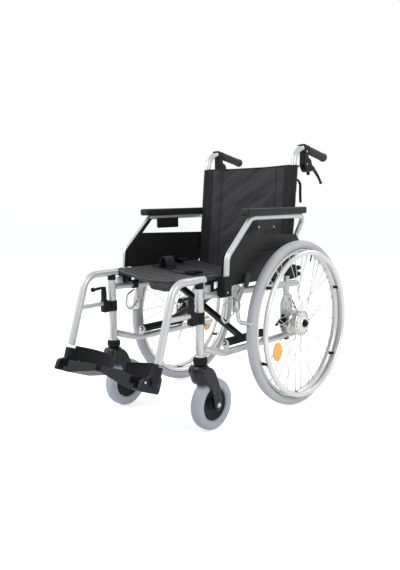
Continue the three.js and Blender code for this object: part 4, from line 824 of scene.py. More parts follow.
for side in SIDES:
    piece("post_tube", plane_rod((SWIVEL_Y, 240), (SWIVEL_Y, 486), 14, 32), "silver_paint",
          "frame", side, soften=0.8, swap="front_post")
    piece("swivel_collar", fluted([(17, 230.8), (21, 232.5), (23, 236), (23.5, 240), (23.5, 250),
                                   (22.4, 254), (19.5, 257)], POST), "black_plastic", "frame", side,
          sharp=30)
    piece("collar_ring", turned([(13, 255.5), (17, 256.5), (18, 258), (18, 261), (17, 262.5), (13, 262.5)],
                                POST, (0, 0, 1), 40), "silver_paint", "frame", side, sharp=30)
    piece("post_cap", turned([(8.6, 480), (14.4, 480), (15.2, 481), (15.2, 488), (13.8, 490), (8.6, 490)],
                             POST, (0, 0, 1), 40), "black_plastic", "frame", side, sharp=30)
    piece("seat_level_rail", plane_rod((-459, 454.6), (15.5, 441.3), 12, 32), "silver_paint",
          "frame", side, swap="upper_rail")
    piece("seat_saddles", [saddle(-412, 8, 463), saddle(-54, 13)], "black_plastic", "frame", side,
          soften=1.2)
    piece("socket_clamp", slab(rect(197.5, 438, 226.5, 469), -377, -353, axis="Y", corner=7),
          "black_plastic", "frame", side, soften=1.2)
    piece("rail_end_block", slab(rect(207, 462, 219, 488), -446, -422, axis="Y", corner=3), "silver_paint",
          "frame", side, soften=1)
    piece("bottom_rail", swept(rounded(in_plane((-459.5, 280.9), (-352, 246), (15.5, 246)), 60, 12), 12,
                               32), "silver_paint", "frame", side, swap="lower_rail")
    piece("rail_tails", [plane_rod((15, 441.3), (92, 439.2), 12, 32),
                         plane_rod((15, 246), (74, 246), 12, 32)], "silver_paint", "frame", side)
    ends = [turned([(0, 0), (11.8, 0), (11.8, 4), (9, 7), (0, 8)], (TUBE_X, y, z), (0, 1, 0), 32)
            for y, z in ((91.6, 439.2), (73.6, 246))]
    piece("rail_end_caps", ends, "black_plastic", "frame", side)
    lug = [(188, 278), (196.5, 289), (213.5, 289), (222, 278), (219, 246), (207, 246)]
    piece("brace_lugs", [slab(lug, low, low + 6, axis="Y", corner=6) for low in (-337.4, -118.6)],
          "silver_paint", "frame", side, soften=0.8)
    piece("brace_pin_seats", [washer((RAIL_X, y, SLEEVE_Z), 8.6, way * 0.7, (0, 1, 0))
                              for y, way in ((-337.4, -1), (-112.6, 1))], "black_plastic", "frame", side)
    piece("brace_pins", [bolt((RAIL_X, -338.1, SLEEVE_Z), 5.5, -5, (0, 1, 0)),
                         bolt((RAIL_X, -111.9, SLEEVE_Z), 5.5, 5, (0, 1, 0)),
                         rod((RAIL_X, -337.4, SLEEVE_Z), (RAIL_X, -317, SLEEVE_Z), 6),
                         rod((RAIL_X, -112.6, SLEEVE_Z), (RAIL_X, -133, SLEEVE_Z), 6)], "zinc_steel",
          "frame", side, soften=0.5)
print("side frames", 2 * TUBE_X, "mm apart")

# %% [markdown]
# The rear tube stands straight to the seat, leans back above it, and bends over into the
# handle. The grip is a ribbed rubber sleeve with a rounded end that is a little larger. A
# short bracket above the wheel's top carries the pin on which the armrest flips back, and a
# black block with two knobs is clamped to the tube at seat height.

# %% Back canes, grips and armrest brackets
CANE = in_plane((25, 232), (25, 440), (84, 966), (292, 921.3))
ARM_PIN = (0, 62, 560)
HANDLE_WAY = Vector((0, 1, -0.215)).normalized()


def handle_point(y):
    return Vector((TUBE_X, y, 966 - (y - 84) * 0.215))


def cane_y(z):
    return 25 + (z - 440) * 59 / 526


for side in SIDES:
    piece("cane_tube", swept(rounded(CANE, 62, 16), 11, 32), "silver_paint", "frame", side,
          swap="back_cane")
    piece("cane_foot_cap", turned([(0, 228), (9, 228), (11.6, 230), (11.6, 239), (0, 239)], (TUBE_X, 25, 0),
                                  (0, 0, 1), 32), "black_plastic", "frame", side)
    profile = [(11.4, 0), (15.5, 0), (16.6, 1.5), (16.6, 4), (15, 6)]
    for i in range(27):
        at = 8 + i * 4
        profile += [(14.6, at), (15.4, at + 1.1), (15.4, at + 2.6), (14.6, at + 3.6)]
    profile += [(15.4, 118), (16.8, 122), (17.2, 127), (16.6, 131), (14, 135), (9, 136.7), (2, 137.2),
                (2, 135)]
    profile += [(11.4, 130)]
    piece("handle_grip", turned(profile, handle_point(162), HANDLE_WAY, 40), "grip_rubber", "frame", side,
          sharp=60, swap="push_grip")
    root = slab(rect(38.5, 550, 49.5, 570), 218.5, 229.6, corner=2)
    lug = slab([(38.5, 550), (66, 550), (72, 556), (72, 564), (66, 570), (38.5, 570)], 226.4, 229.6,
               corner=3)
    piece("armrest_bracket", [root, lug], "silver_paint", "frame", side, soften=0.6)
    box = slab([(37, 458), (80, 460), (88, 466), (88, 492), (78, 510), (66, 514), (37, 512)], 206, 224,
               corner=6)
    knobs = [turned([(0, 0), (6, 0), (6, 8), (8.6, 9), (9, 12), (9, 24), (7, 27), (0, 28)], (215, 86, z),
                    (0, 1, 0), 24) for z in (473, 497)]
    piece("rear_receiver", [box, *knobs], "black_plastic", "frame", side, soften=1.4)
    head = turned([(0, 206), (6.5, 206), (6.5, 204.6), (4.5, 203), (0, 202.6)], ARM_PIN, steps=24)
    piece("armrest_pin", [rod((206, 62, 560), (228, 62, 560), 5), head], "zinc_steel", "frame", side)
print("handle ends", round(handle_point(292).z), "mm up")

# %% [markdown]
# Under each handle sits the attendant's brake. Its black housing clamps the tube ahead of
# the grip and drops down to two cheeks, and the lever swings between them and reaches back
# under the grip, with a ball at its end.

# %% Hand brakes
HOUSING_FRONT = [(134, 966), (158, 962), (160, 917), (176, 912), (183, 898), (181, 868), (158, 860.5),
                 (145, 868), (134, 884)]
CHEEK = [(152, 918), (165, 912), (176, 900), (190, 888), (199, 882), (199, 872), (190, 868), (176, 865),
         (152, 861)]
LEVER = in_plane((182, 889), (203, 880), (222, 869), (240, 855), (256, 840), (269, 824))
for side in SIDES:
    piece("brake_body", [slab(HOUSING_FRONT, 200, 226, corner=6), slab(CHEEK, 199.6, 204.6, corner=7),
                         slab(CHEEK, 221.4, 226.4, corner=7)], "black_plastic", "frame", side, soften=1.6,
          segments=3, swap="brake_housing")
    tab = slab([(114, 963), (124, 966.5), (136, 968.5), (150, 966), (150, 958), (133, 960), (114, 959)],
               205, 221, corner=1.4)
    foot = turned([(0, 0), (6, 0), (6.4, 2), (6.4, 10), (4.6, 12.5), (0, 13)], (TUBE_X, 176, 864),
                  (0, 0.1, -1), 20)
    piece("brake_tab", [tab, foot], "black_plastic", "frame", side, soften=0.8)
    pin = [rod((199, 205, 876), (227, 205, 876), 3), bolt((226.4, 205, 876), 4.6, 2),
           bolt((199.6, 205, 876), 4.6, -2), bolt((226, 146, 940), 4, 2), bolt((226, 147, 892), 3.6, 2)]
    piece("brake_pins", pin, "zinc_steel", "frame", side, soften=0.4)
    piece("cable_adjuster", turned([(0, -1), (5, -1), (5.6, 1), (5.6, 5), (4, 7), (3.5, 10), (0, 10)],
                                   (210.5, 134, 890), (0, -1, -0.12), 20), "black_plastic", "frame", side,
          sharp=30)
    path = smooth_line(LEVER, 6)
    scale = [1.45 - 0.75 * (i / (len(path) - 1)) ** 0.8 for i in range(len(path))]
    boss = rod((205.4, 205, 876), (220.6, 205, 876), 8, 28)
    piece("squeeze_lever", [boss, swept(path, ellipse(7.0, 4.6, 16), scale=scale), ball(path[-1], 6.4)],
          "black_plastic", "brake_lever", side, swap="brake_lever")
print("brake lever reaches", LEVER[-1][1] - 205, "mm behind its pin")

# %% [markdown]
# Under the seat two black tubes cross and share one bolt. Each starts at a ribbed sleeve
# that turns on its own side's pins, and ends in the seat rail of the other side. Lifting the
# seat closes the cross and draws the two sides together.

# %% Folding cross
CROSS_Z = 390.5
for side, plane in ((1, -239.25), (-1, -212.75)):
    body = "brace_a" if side > 0 else "brace_b"
    profile = [(12, -331), (14.4, -331), (14.4, -326)]
    for i in range(40):
        profile += [(13.6, -326 + i * 5), (13.6, -324 + i * 5), (14.4, -323.4 + i * 5),
                    (14.4, -321.6 + i * 5)]
    profile += [(14.4, -119), (12, -119)]
    piece("brace_sleeve", turned(profile, (RAIL_X, 0, SLEEVE_Z), (0, 1, 0), 32), "black_plastic", body,
          side, sharp=30, swap="cross_brace")
    piece("brace_bar", rod((203, plane, 279.1), (-196, plane, 498.1), 12.5, 32), "black_paint", body, side)
    rail = together(rod((-RAIL_X, -441, RAIL_Z), (-RAIL_X, -18, RAIL_Z), 11, 32),
                    turned([(0, -444.6), (9, -444.6), (11.6, -442), (11.6, -438), (0, -438)],
                           (-RAIL_X, 0, RAIL_Z), (0, 1, 0), 32))
    piece("seat_rail", rail, "black_paint", body, side)
piece("brace_pivot_bolt", [rod((0, -266, CROSS_Z), (0, -187, CROSS_Z), 5),
                           bolt((0, -252.5, CROSS_Z), 10, -7, (0, 1, 0)),
                           bolt((0, -199.5, CROSS_Z), 10, 7, (0, 1, 0)),
                           washer((0, -252, CROSS_Z), 13, -1.5, (0, 1, 0)),
                           washer((0, -200, CROSS_Z), 13, 1.5, (0, 1, 0))], "zinc_steel", "brace_a",
      soften=0.5, swap="brace_bolt")
print("bars cross", round(2 * degrees(atan2(225, 410)), 1), "degrees apart")

# %% [markdown]
# The legrest hangs on a pin in the front post and swings out of the way. It is one tube that
# runs forwards, turns down over the knee and slopes to the foot. A black latch on a short
# cross tube closes round the post and keeps it in line until its lever is turned.

# %% Legrests and latches
LATCH = [(-519.5, 368), (-516, 365), (-487, 366), (-487, 404), (-499, 405), (-504, 412), (-517, 412),
         (-519.5, 408)]
for side in SIDES:
    piece("leg_tube", swept(rounded(in_plane((-446, 507), (-587, 507), (-664, 272)), 62, 16), 12.5, 32),
          "silver_paint", "legrest", side, swap="legrest_tube")
    stub = turned([(0, 0), (12.9, 0), (12.9, 3), (10, 5), (0, 5.5)], (TUBE_X, -447, 507), (0, 1, 0), 32)
    ring = turned([(7.8, 490.4), (14.6, 490.4), (15, 491.4), (15, 495), (13, 499), (7.8, 499)], POST,
                  (0, 0, 1), 40)
    piece("leg_top_trim", [stub, ring], "black_plastic", "legrest", side, sharp=30)
    piece("swing_pin", plane_rod((SWIVEL_Y, 446), (SWIVEL_Y, 500), 8, 24), "zinc_steel",
          "legrest", side)
    piece("leg_cross_tube", plane_rod((-620, 397), (-519, 397), 8, 24), "silver_paint", "legrest",
          side)
    piece("foot_slider", plane_rod((-667, 263), (-684, 212), 14, 28), "black_plastic", "legrest",
          side, soften=1)
    collar = turned([(14.4, 366), (16.4, 366), (17, 368), (17, 402), (16.4, 404), (14.4, 404)], POST,
                    (0, 0, 1), 40)
    column = slab(rect(-519, 405, -503.4, 446.3), 205.5, 220.5, corner=4)
    piece("latch_body", [slab(LATCH, 202, 224, corner=4), column], "black_plastic", "legrest", side,
          soften=1.6, segments=3, swap="legrest_latch")
    piece("latch_collar", collar, "black_plastic", "legrest", side, sharp=30)
    piece("latch_screws", [bolt((TUBE_X, -519.5, 372), 3.6, -3, (0, 1, 0)), bolt((224, -496, 373), 3, 1.6)],
          "black_paint", "legrest", side, soften=0.4)
    hub = turned([(0, 446.4), (8, 446.4), (9, 448), (9, 455), (7, 458.4), (0, 458.4)], (TUBE_X, -511, 0),
                 (0, 0, 1), 28)
    arm = smooth_line(in_plane((-508, 453), (-522, 455), (-538, 454), (-556, 452.5)), 5)
    piece("latch_knob", [hub, swept(arm, 5.2, 14), ball((TUBE_X, -560, 452.8), 8.6)], "black_plastic",
          "latch_lever", side, swap="latch_lever")
print("legrest drops", 507 - 272, "mm to its foot")

# %% [markdown]
# Each footplate flips up on a hinge beside a moulded block at the tube's foot. The plates
# slope up to the toe. They are deep beside the hinge, thin where the two meet, and ribbed on
# top so that a shoe doesn't slip. They are drawn level and then tipped into place.

# %% Footplates and their hangers
FOOT_HINGE = Vector((166, -690, 195))
FOOT_TILT = radians(21)
FOOT_CANT = radians(3)


def on_foot(x, forward, up):
    """A place in the footplate's tipped frame, as a place on the chair."""
    return FOOT_HINGE + Vector((x, -forward * cos(FOOT_TILT) + up * sin(FOOT_TILT), forward * sin(FOOT_TILT)
                                + up * cos(FOOT_TILT)))


def tipped(solid, cant=0.0):
    verts, faces = solid
    turned_verts = []
    for v in verts:
        x = v[0] * cos(cant) + v[2] * sin(cant)
        up = -v[0] * sin(cant) + v[2] * cos(cant)
        turned_verts.append(on_foot(x, -v[1], up))
    return turned_verts, faces


PLATE_END = -155.7
for side in SIDES:
    block = slab([(-52, -9), (-49, 22), (-42, 29), (-26, 33), (-16, 46), (24, 46), (31, 38), (31, -4),
                  (25, -9)], 31, 47, corner=6)
    tongue = slab(rect(-20, -9, 20, 9), -8, 34, corner=2)
    socket = plane_rod((-667.5, 262), (-686, 205.5), 15.6, 30)
    piece("foot_hanger", tipped(together(block, tongue)), "footplate_plastic", "legrest", side, soften=2.2,
          segments=4)
    piece("foot_socket", socket, "footplate_plastic", "legrest", side, soften=1.6)
    # Painted shade: a thin black disc under the screw stands for the shade in its recess; no recess is cut.
    dark = washer((47, -38, 20), 6, 0.4)
    screw = turned([(0, 0), (4.2, 0), (4.2, 0.8), (2.6, 1.6), (0, 1.6)], (47.2, -38, 20), steps=20)
    piece("screw_recess_shade", tipped(dark), "black_plastic", "legrest", side)
    piece("foot_screw", tipped(screw), "zinc_steel", "legrest", side, sharp=30)
    pin = rod((0, -45.6, 0), (0, 45.6, 0), 4.5, 20)
    piece("foot_pin", tipped(pin), "black_paint", "legrest", side)
    plate = slab([(-14, -9), (-14, 30), (PLATE_END, 30), (PLATE_END, 10), (-30, -9)], -46, 46, axis="Y",
                 corner=3)
    knuckles = []
    for low, high in ((-46, -21), (21, 46)):
        knuckles.append(turned(rect(5.2, low, 9, high), (0, 0, 0), (0, 1, 0), 28))
        knuckles.append(slab([(-5, -8.8), (-5, 8.8), (-16, 8.8), (-16, -8.8)], low, high, axis="Y"))
    piece("foot_tread", [tipped(plate, FOOT_CANT), tipped(together(*knuckles))], "footplate_plastic",
          "footplate", side, soften=1.8, segments=3, swap="footplate")
    ribs = [slab(rect(PLATE_END + 8, y - 1.2, -22, y + 1.2), 29.6, 30.9, axis="Z")
            for y in range(-38, 39, 6)]
    piece("foot_ribs", tipped(together(*ribs), FOOT_CANT), "black_plastic", "footplate", side)
    end_cap = slab(rect(-43, 27, 43, -6), -13.9, -12.6, corner=5)
    piece("foot_end_cap", tipped(end_cap, FOOT_CANT), "black_plastic", "footplate", side, soften=0.5)
print("footplate", round(-PLATE_END), "mm from its hinge to its end")

# %% [markdown]
# A strap behind each heel keeps the foot on its plate. It is one band of webbing with a hem
# along both edges. Its outer end is a sleeve round the tube's foot, and it curves back
# behind the heel to the footplate's inner side. It rides on the legrest.

# %% Heel straps
BAND_HIGH = 47

for side in SIDES:
    loops = []
    for i in range(33):
        t = i / 32
        x = (1 - t) ** 2 * 203 + 2 * t * (1 - t) * 118 + t * t * 31
        y = (1 - t) ** 2 * -661.8 + 2 * t * (1 - t) * -562.8 + t * t * -635.8
        low = 221 - 60 * t + 34 * t * t
        loop = []
        for k in range(13):
            h = BAND_HIGH * k / 12
            bulge = 1.2 * sin(pi * k / 12) + 1.2 * noise.noise(Vector((x * 0.03, h * 0.05, side)))
            hem = 0.5 if k in (0, 1, 11, 12) else 0
            loop.append((x, y + 0.33 * (h - BAND_HIGH / 2) + bulge + 3 + hem, low + h))
        loop += [(px, py - 2.6 - 2 * (0.5 if k in (0, 1, 11, 12) else 0), pz)
                 for k, (px, py, pz) in reversed(list(enumerate(loop)))]
        loops.append(loop)
    strap = piece("heel_band", loft(loops), "strap_cloth", "legrest", side, sharp=60, swap="heel_strap")
    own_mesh(strap)
    sleeve_way = Vector((0, -77, -235)).normalized()
    wrap = piece("heel_sleeve", turned([(15.7, 0), (16.8, 0.6), (17.2, 3), (16.8, 25), (17.2, 46),
                                        (16.8, 48.4), (15.7, 49)], Vector((TUBE_X, -664, 272))
                                       + sleeve_way * 9, sleeve_way, 36), "strap_cloth", "legrest", side)
print("heel band", BAND_HIGH, "mm wide")

# %% [markdown]
# The armrest is a hoop of tube. Its front leg drops into a socket on the side frame and its
# rear end turns on the bracket behind the back, so it lifts and flips back. The pad is soft
# foam in a moulded skin, and a small screwed block hangs below it. A thin panel keeps
# clothes off the wheel. It has a thicker edge at its front, shallow creases in both faces
# and a skirt that reaches down past the seat's edge.

# %% Armrests, pads and side panels
ARM = [(247, -377, 489), (247, -370, 576), (247, -238, 700), (247, 96, 700), (216, 90, 628), (216, 62, 560)]
PANEL = [(-374.7, 517), (-355, 517), (-355, 506), (22, 506), (84, 590), (63, 630), (-299.7, 642),
         (-370, 576)]
PAD_FRONT, PAD_REAR, PAD_LOW, PAD_TOP, PAD_HALF = -273, 88, 706.4, 731.4, 18.4


def pad_outline(y):
    """The pad's section at this depth; near either end it draws in, so that the ends are blunt but soft."""
    to_end = min(1, min(y - PAD_FRONT, PAD_REAR - y) / 7)
    inset = 7 * (1 - sqrt(max(0.0, 1 - (1 - to_end) ** 2)))
    half = PAD_HALF - inset * 0.7
    low, high = PAD_LOW + inset * 0.7, PAD_TOP - inset
    section = cut_corners(rect(-half, low, half, high), 5.5, 5)
    loop = []
    for place in section:
        crown = 1.0 * (1 - (place.x / PAD_HALF) ** 2) if place.y > 720 else 0
        loop.append((246.5 + place.x, y, place.y + crown))
    return loop


for side in SIDES:
    hoop = swept(rounded(ARM, 42, 12), 10, 28)
    boss = turned([(5.4, 206), (11, 206), (12, 207), (12, 225), (11, 226), (5.4, 226)], ARM_PIN, steps=32)
    piece("arm_hoop", [hoop, boss], "silver_paint", "armrest", side, sharp=30, swap="armrest_tube")
    end = [0, 0.6, 1.6, 3, 5, 7]
    steps = end + [7 + 347 * i / 40 for i in range(1, 40)] + [PAD_REAR - PAD_FRONT - d for d in end[::-1]]
    pad = piece("arm_pad", loft([pad_outline(PAD_FRONT + d) for d in steps]), "pad_skin", "armrest", side,
                sharp=60, swap="armrest_pad")
    piece("pad_mounts", slab([(-203, 660), (-199, 656), (-89, 655), (-85, 658), (-85, 699), (-203, 699)],
                             238.2, 245, corner=3), "panel_plastic", "armrest", side, soften=1.2)
    piece("mount_screws", [turned([(0, 244.6), (3.2, 244.6), (3.2, 245.4), (2, 246), (0, 246)], (0, y, z),
                                  steps=18) for y, z in ((-190, 666), (-102, 664))], "zinc_steel",
          "armrest", side, sharp=30)
    piece("cloth_guard", slab(PANEL, 230.4, 233.6, corner=6), "panel_plastic", "armrest", side, soften=0.9,
          swap="side_panel")
    edge = slab([(-388, 519), (-378, 517.5), (-366, 519), (-362, 574), (-240, 690), (-250, 699),
                 (-381, 579)], 233.8, 236.6, corner=2)
    piece("guard_edge", edge, "panel_plastic", "armrest", side, soften=0.6)
    piece("guard_skirt", slab([(-330, 476), (-75, 476), (-66, 507), (-340, 507)], 230.6, 233.4, corner=3),
          "panel_plastic", "armrest", side, soften=0.6)
    creases = []
    for z, front, rear in ((610, -322, 56), (591, -340, 70), (572, -350, 66), (540, -356, 40)):
        for x in (230.5, 233.5):
            creases.append(swept(smooth_line([(x, front, z), (x, (front + rear) / 2, z + 1.2),
                                              (x, rear, z)], 6), 0.9, 8))
    piece("guard_creases", creases, "panel_plastic", "armrest", side)
    bosses = [rod((232, y, z), (237.4, y, z), 6.4, 24) for y, z in ((-372.5, 545), (-328.5, 615))]
    bosses.append(rod((232, 76, 606), (225.6, 76, 606), 6.4, 24))
    piece("guard_clips", bosses, "black_plastic", "armrest", side, soften=0.8)
    socket = piece("arm_socket", slab(rect(225.6, -398, 259.6, -360), 447, 514, axis="Z", corner=6),
                   "black_plastic", "frame", side, soften=1.8, segments=3, swap="armrest_socket")
    cut_away(socket, slab(rect(236.6, -396.2, 257.4, -362), 486, 520, axis="Z", corner=3), side)
    piece("socket_band", slab(rect(225.2, -399, 260.2, -359), 474, 478, axis="Z", corner=6),
          "black_plastic", "frame", side, soften=0.8)
    piece("socket_bolt", bolt((259.4, -384, 461), 3.6, 1.6), "zinc_steel", "frame", side, soften=0.3)
print("armrest pad", PAD_REAR - PAD_FRONT, "by 37 mm")

# %% [markdown]
# The user's wheel lock is a set of pressed steel plates clamped on the upper rail. A hand
# grip turns the long plate about its pin and swings a bent bar into the tyre. The chair in
# the photograph stands with its locks on, so the bar is drawn against the tyre.

# %% Wheel locks
CLAMP_PLATE = [(-343, 434), (-286, 438), (-280, 462), (-290, 476), (-343, 474)]
ARM_PLATE = [(-331, 384), (-307, 382), (-298, 404), (-296, 446), (-331, 446)]
GRIP_FOOT = (246, -268, 468)
BLADE = [(-328, 384), (-308, 384), (-296, 420), (-260, 478), (-271, 484), (-312, 436), (-330, 404)]
for side in SIDES:
    plates = [slab(CLAMP_PLATE, 232, 235.6, corner=8), slab(ARM_PLATE, 234.4, 237.6, corner=8),
              slab(rect(-341, 440, -292, 466), 225.6, 232.4, corner=5)]
    wire = swept(rounded([(235, -344, 428), (235, -380, 412), (235, -386, 372), (235, -366, 350),
                          (235, -334, 378)], 14, 5), 3.6, 12)
    piece("lock_plate", [*plates, wire], "zinc_steel", "frame", side, soften=0.7, swap="wheel_lock_body")
    clamps = [slab(rect(y - 8, 439, y + 8, 468), 223, 233, corner=5) for y in (-333, -300)]
    dark = [bolt((237.4, y, z), 3.8, 1.2) for y, z in ((-328, 380), (-326, 432))]
    dark += [bolt((225.6, y, z), 4.2, -3) for y, z in ((-336, 447), (-324, 461), (-310, 447), (-298, 461))]
    piece("lock_clamps", [*clamps, *dark], "black_plastic", "frame", side, soften=0.8)
    fixings = [bolt((235.6, y, z), 5, 3.5) for y, z in ((-333, 462), (-300, 464), (-315, 448))]
    pin = turned([(0.5, 232), (5, 232), (5, 249), (8, 249), (8, 251.4), (4, 252.4), (0.5, 252.4)],
                 (0, -318, 395), steps=24)
    piece("lock_pin", [pin, *fixings], "zinc_steel", "frame", side, soften=0.4)
    blade = slab(BLADE, 239, 243, corner=6)
    link = slab([(-328, 386), (-310, 386), (-300, 408), (-306, 424), (-324, 416)], 245.4, 248.4, corner=6)
    bar = swept(rounded([(245.8, -322, 424), (245.8, -309.5, 349), (299.8, -309.5, 349)], 15, 8), 6.8, 24)
    piece("lock_blade", [blade, link, bar], "zinc_steel", "wheel_lock", side, soften=0.6,
          swap="wheel_lock_lever")
    grip = turned([(0, -5), (5, -5), (6.5, 0), (8.6, 5), (10.4, 16), (10.6, 30), (9.4, 40), (6, 45),
                   (0, 46)], GRIP_FOOT, Vector((0, 10, 45)).normalized(), 28)
    piece("lock_grip", grip, "grip_rubber", "wheel_lock", side, sharp=60)
print("lock grip stands", GRIP_FOOT[2], "mm up")

# %% [markdown]
# The seat is one piece of coated cloth, pulled over the two seat rails. It hangs in a shallow
# trough between them, with soft folds that run across. A crinkled roll in a shinier finish
# closes its front edge, and a loose flap hangs from that.

# %% Seat
SEAT_FRONT, SEAT_REAR, SEAT_HALF = -444, -22, 199.3


def seat_dip(x, y):
    share = x / SEAT_HALF
    along = (y - SEAT_FRONT) / (SEAT_REAR - SEAT_FRONT)
    folds = 1.5 * sin(6 * pi * along) + 2.6 * noise.noise(Vector((x * 0.012, y * 0.035, 0.4)))
    folds += 1.6 * noise.noise(Vector((x * 0.03 + y * 0.02, y * 0.05 - x * 0.01, 2.0)))
    return (22 + 4 * sin(pi * along) + folds) * (1 - share * share)


def seat_outline(y):
    over, under = [], []
    for i in range(73):
        x = SEAT_HALF * (i / 36 - 1)
        dip = seat_dip(x, y)
        hem = 0.9 if 150 < abs(x) < 153.5 else 0
        over.append((x, y, 518.4 - dip - hem))
        under.append((x, y, 514.4 - dip))
    turns = [radians(112 - 112 * i / 10) for i in range(11)]
    outer, inner = ([(RAIL_X + radius * cos(a), y, RAIL_Z + radius * sin(a)) for a in turns]
                    for radius in (15.4, 11.4))
    left = outer + inner[::-1]
    right_side = [(-x, py, z) for x, py, z in left][::-1]
    return over + left + under[::-1] + right_side


def ride_both_rails(cloth):
    """Bake the cloth's placement into its mesh."""
    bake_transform(cloth)


surface("seat_hem", (0.011, 0.0108, 0.012), 0.4, grain=130, bump=0.9, drift=0.3, depth=0.0016, gloss=0.5)
rows = [SEAT_FRONT + (SEAT_REAR - SEAT_FRONT) * i / 90 for i in range(91)]
seat = piece("seat_cloth", loft([seat_outline(y) for y in rows]), "seat_cloth", None, sharp=60,
             swap="seat_sling")
front_line = [Vector((x, SEAT_FRONT + 2.4, 510.6 - seat_dip(x, SEAT_FRONT))) for x in range(-198, 199, 6)]
swell = [1 + 0.35 * noise.noise(Vector((p.x * 0.09, 1.0, 7.0))) for p in front_line]
front_roll = piece("seat_front_roll", swept(front_line, ellipse(8.2, 7.6, 20), scale=swell, up=(0, 0, 1)),
                   "seat_hem", None, sharp=60)
flap_loops = []
for i in range(65):
    x = 18 + 62 * (i / 32 - 1)
    wave = 3.2 * sin(4 * pi * i / 64 + 0.6)
    loop_front, loop_back = [], []
    low = 453.4 + 15 * abs((x - 18) / 62) ** 4
    top_z = 514 - seat_dip(x, SEAT_FRONT)
    for k in range(17):
        t = k / 16
        z = top_z + (low - top_z) * t
        crinkle = 4.2 * noise.noise(Vector((x * 0.11, z * 0.14, 3.0)))
        push = wave * t + 3 * sin(pi * min(1, t * 1.3)) * 0.5 + crinkle
        loop_front.append((x, SEAT_FRONT + 1.5 - push - 2.5 * t, z))
        loop_back.append((x, SEAT_FRONT + 4.0 - push - 2.5 * t, z))
    flap_loops.append(loop_front + loop_back[::-1])
flap = piece("seat_front_flap", loft(flap_loops), "seat_hem", None, sharp=60)
for cloth in (seat, front_roll, flap):
    ride_both_rails(cloth)
print("seat cloth", SEAT_REAR - SEAT_FRONT, "mm deep")

# %% [markdown]
# The back is woven cloth with a pocket sewn down each side, slipped over the two leaning
# tubes. It bows back a little, with slanting folds from the corners. A seam runs down about
# a sixth of the way in from each side, and a darker band runs along each outer edge. The
# cloth's lower edge hangs a little below the seat's rails.

# %% Back
BACK_LOW, BACK_TOP, BACK_HALF = 481, 887, 205.5
POCKET_LOW = 474
SEAM = 0.66
FOLD_SLOPE = radians(32)


def back_sag(across, share):
    """How far the cloth bows back: a soft belly, slanting folds, and a pinch along each seam."""
    x, z = BACK_HALF * across, (BACK_TOP - BACK_LOW) * share
    along = x * cos(FOLD_SLOPE) + z * sin(FOLD_SLOPE)
    over = z * cos(FOLD_SLOPE) - x * sin(FOLD_SLOPE)
    folds = 9.5 * noise.noise(Vector((along * 0.006, over * 0.021, 3.0)))
    folds += 4.2 * noise.noise(Vector((along * 0.012, over * 0.05, 8.0)))
    pinch = 2.2 * exp(-((abs(across) - SEAM) / 0.03) ** 2)
    puff = -1.6 * exp(-((abs(across) - SEAM - 0.1) / 0.06) ** 2)
    return (24 - 6 * share * share + folds) * (1 - abs(across) ** 2.4) + pinch + puff


def back_loop(share, low_side, high_side, lift=0.0, count=48):
    z = BACK_LOW + (BACK_TOP - BACK_LOW) * share
    over, under = [], []
    for i in range(count + 1):
        across = low_side + (high_side - low_side) * i / count
        x = BACK_HALF * across
        y = cane_y(z) + back_sag(across, share) - 11.5
        top_curve = 3.0 * (1 - across * across) * share ** 6
        over.append((x, y - lift, z - top_curve))
        under.append((x, y + 3.4, z - top_curve))
    return over + under[::-1]


shares = [i / 80 for i in range(81)]
back = piece("back_cloth", loft([back_loop(s, -1, 1, 0.0, 120) for s in shares]), "back_cloth",
             "left_frame", sharp=60, swap="back_sling")
bands = []
for low_side, high_side in ((-0.99, -0.87), (0.87, 0.99)):
    bands.append(loft([back_loop(0.004 + 0.992 * s, low_side, high_side, 0.9, 12) for s in shares]))
side_bands = piece("back_side_bands", bands, "strap_cloth", "left_frame", sharp=60)
seams = []
for across in (-SEAM, SEAM, -0.87, 0.87):
    line = []
    for s in shares:
        z = BACK_LOW + (BACK_TOP - BACK_LOW) * s
        line.append((BACK_HALF * across, cane_y(z) + back_sag(across, s) - 11.9, z))
    seams.append(swept(line, 1.2, 8))
back_seams = piece("back_seams", seams, "strap_cloth", "left_frame")
top_line = []
for i in range(61):
    across = -0.99 + 1.98 * i / 60
    top_line.append((BACK_HALF * across, cane_y(BACK_TOP) + back_sag(across, 1) - 9.8,
                     BACK_TOP - 1.0 - 3.0 * (1 - across * across)))
top_hem = piece("back_top_hem", swept(top_line, ellipse(3.0, 3.4, 14)), "strap_cloth", "left_frame",
                sharp=60)
pockets = []
for side in SIDES:
    lean = (Vector((TUBE_X, 84, 966)) - Vector((TUBE_X, 25, 440))).normalized()
    low = Vector((TUBE_X, cane_y(POCKET_LOW), POCKET_LOW))
    height = (BACK_TOP - POCKET_LOW) / lean.z
    loops = []
    for i in range(61):
        centre = low + lean * height * i / 60
        swell = 14.8 + 1.5 * (i / 60) ** 3
        loop = []
        for k in range(40):
            angle = 2 * pi * k / 40
            wide = swell * cos(angle) if cos(angle) > 0 else 15.0 * cos(angle)
            ripple = 1.1 * noise.noise(Vector((cos(angle) * 1.5, sin(angle) * 1.5, i * 0.2 + side)))
            stitch = -0.8 if k in (25, 35) else 0
            loop.append((centre.x + wide + (ripple + stitch) * cos(angle),
                         centre.y + (14.9 + ripple + stitch) * sin(angle), centre.z))
        loops.append(loop)
    pockets.append(piece("back_pocket", loft(loops), "strap_cloth", "frame", side, sharp=60))
    tie = smooth_line(in_plane((80, 836), (102, 832), (119, 816), (120, 784), (122, 746)), 5)
    flat = [(5, -1.7), (5, 1.7), (-5, 1.7), (-5, -1.7)]
    pockets.append(piece("back_tie", swept(tie, flat, up=(0, -0.5, 1)), "strap_cloth", "frame", side,
                         soften=0.5))
for cloth in (back, side_bands, back_seams, top_hem):
    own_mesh(cloth)
print("back cloth", BACK_TOP - BACK_LOW, "mm high")

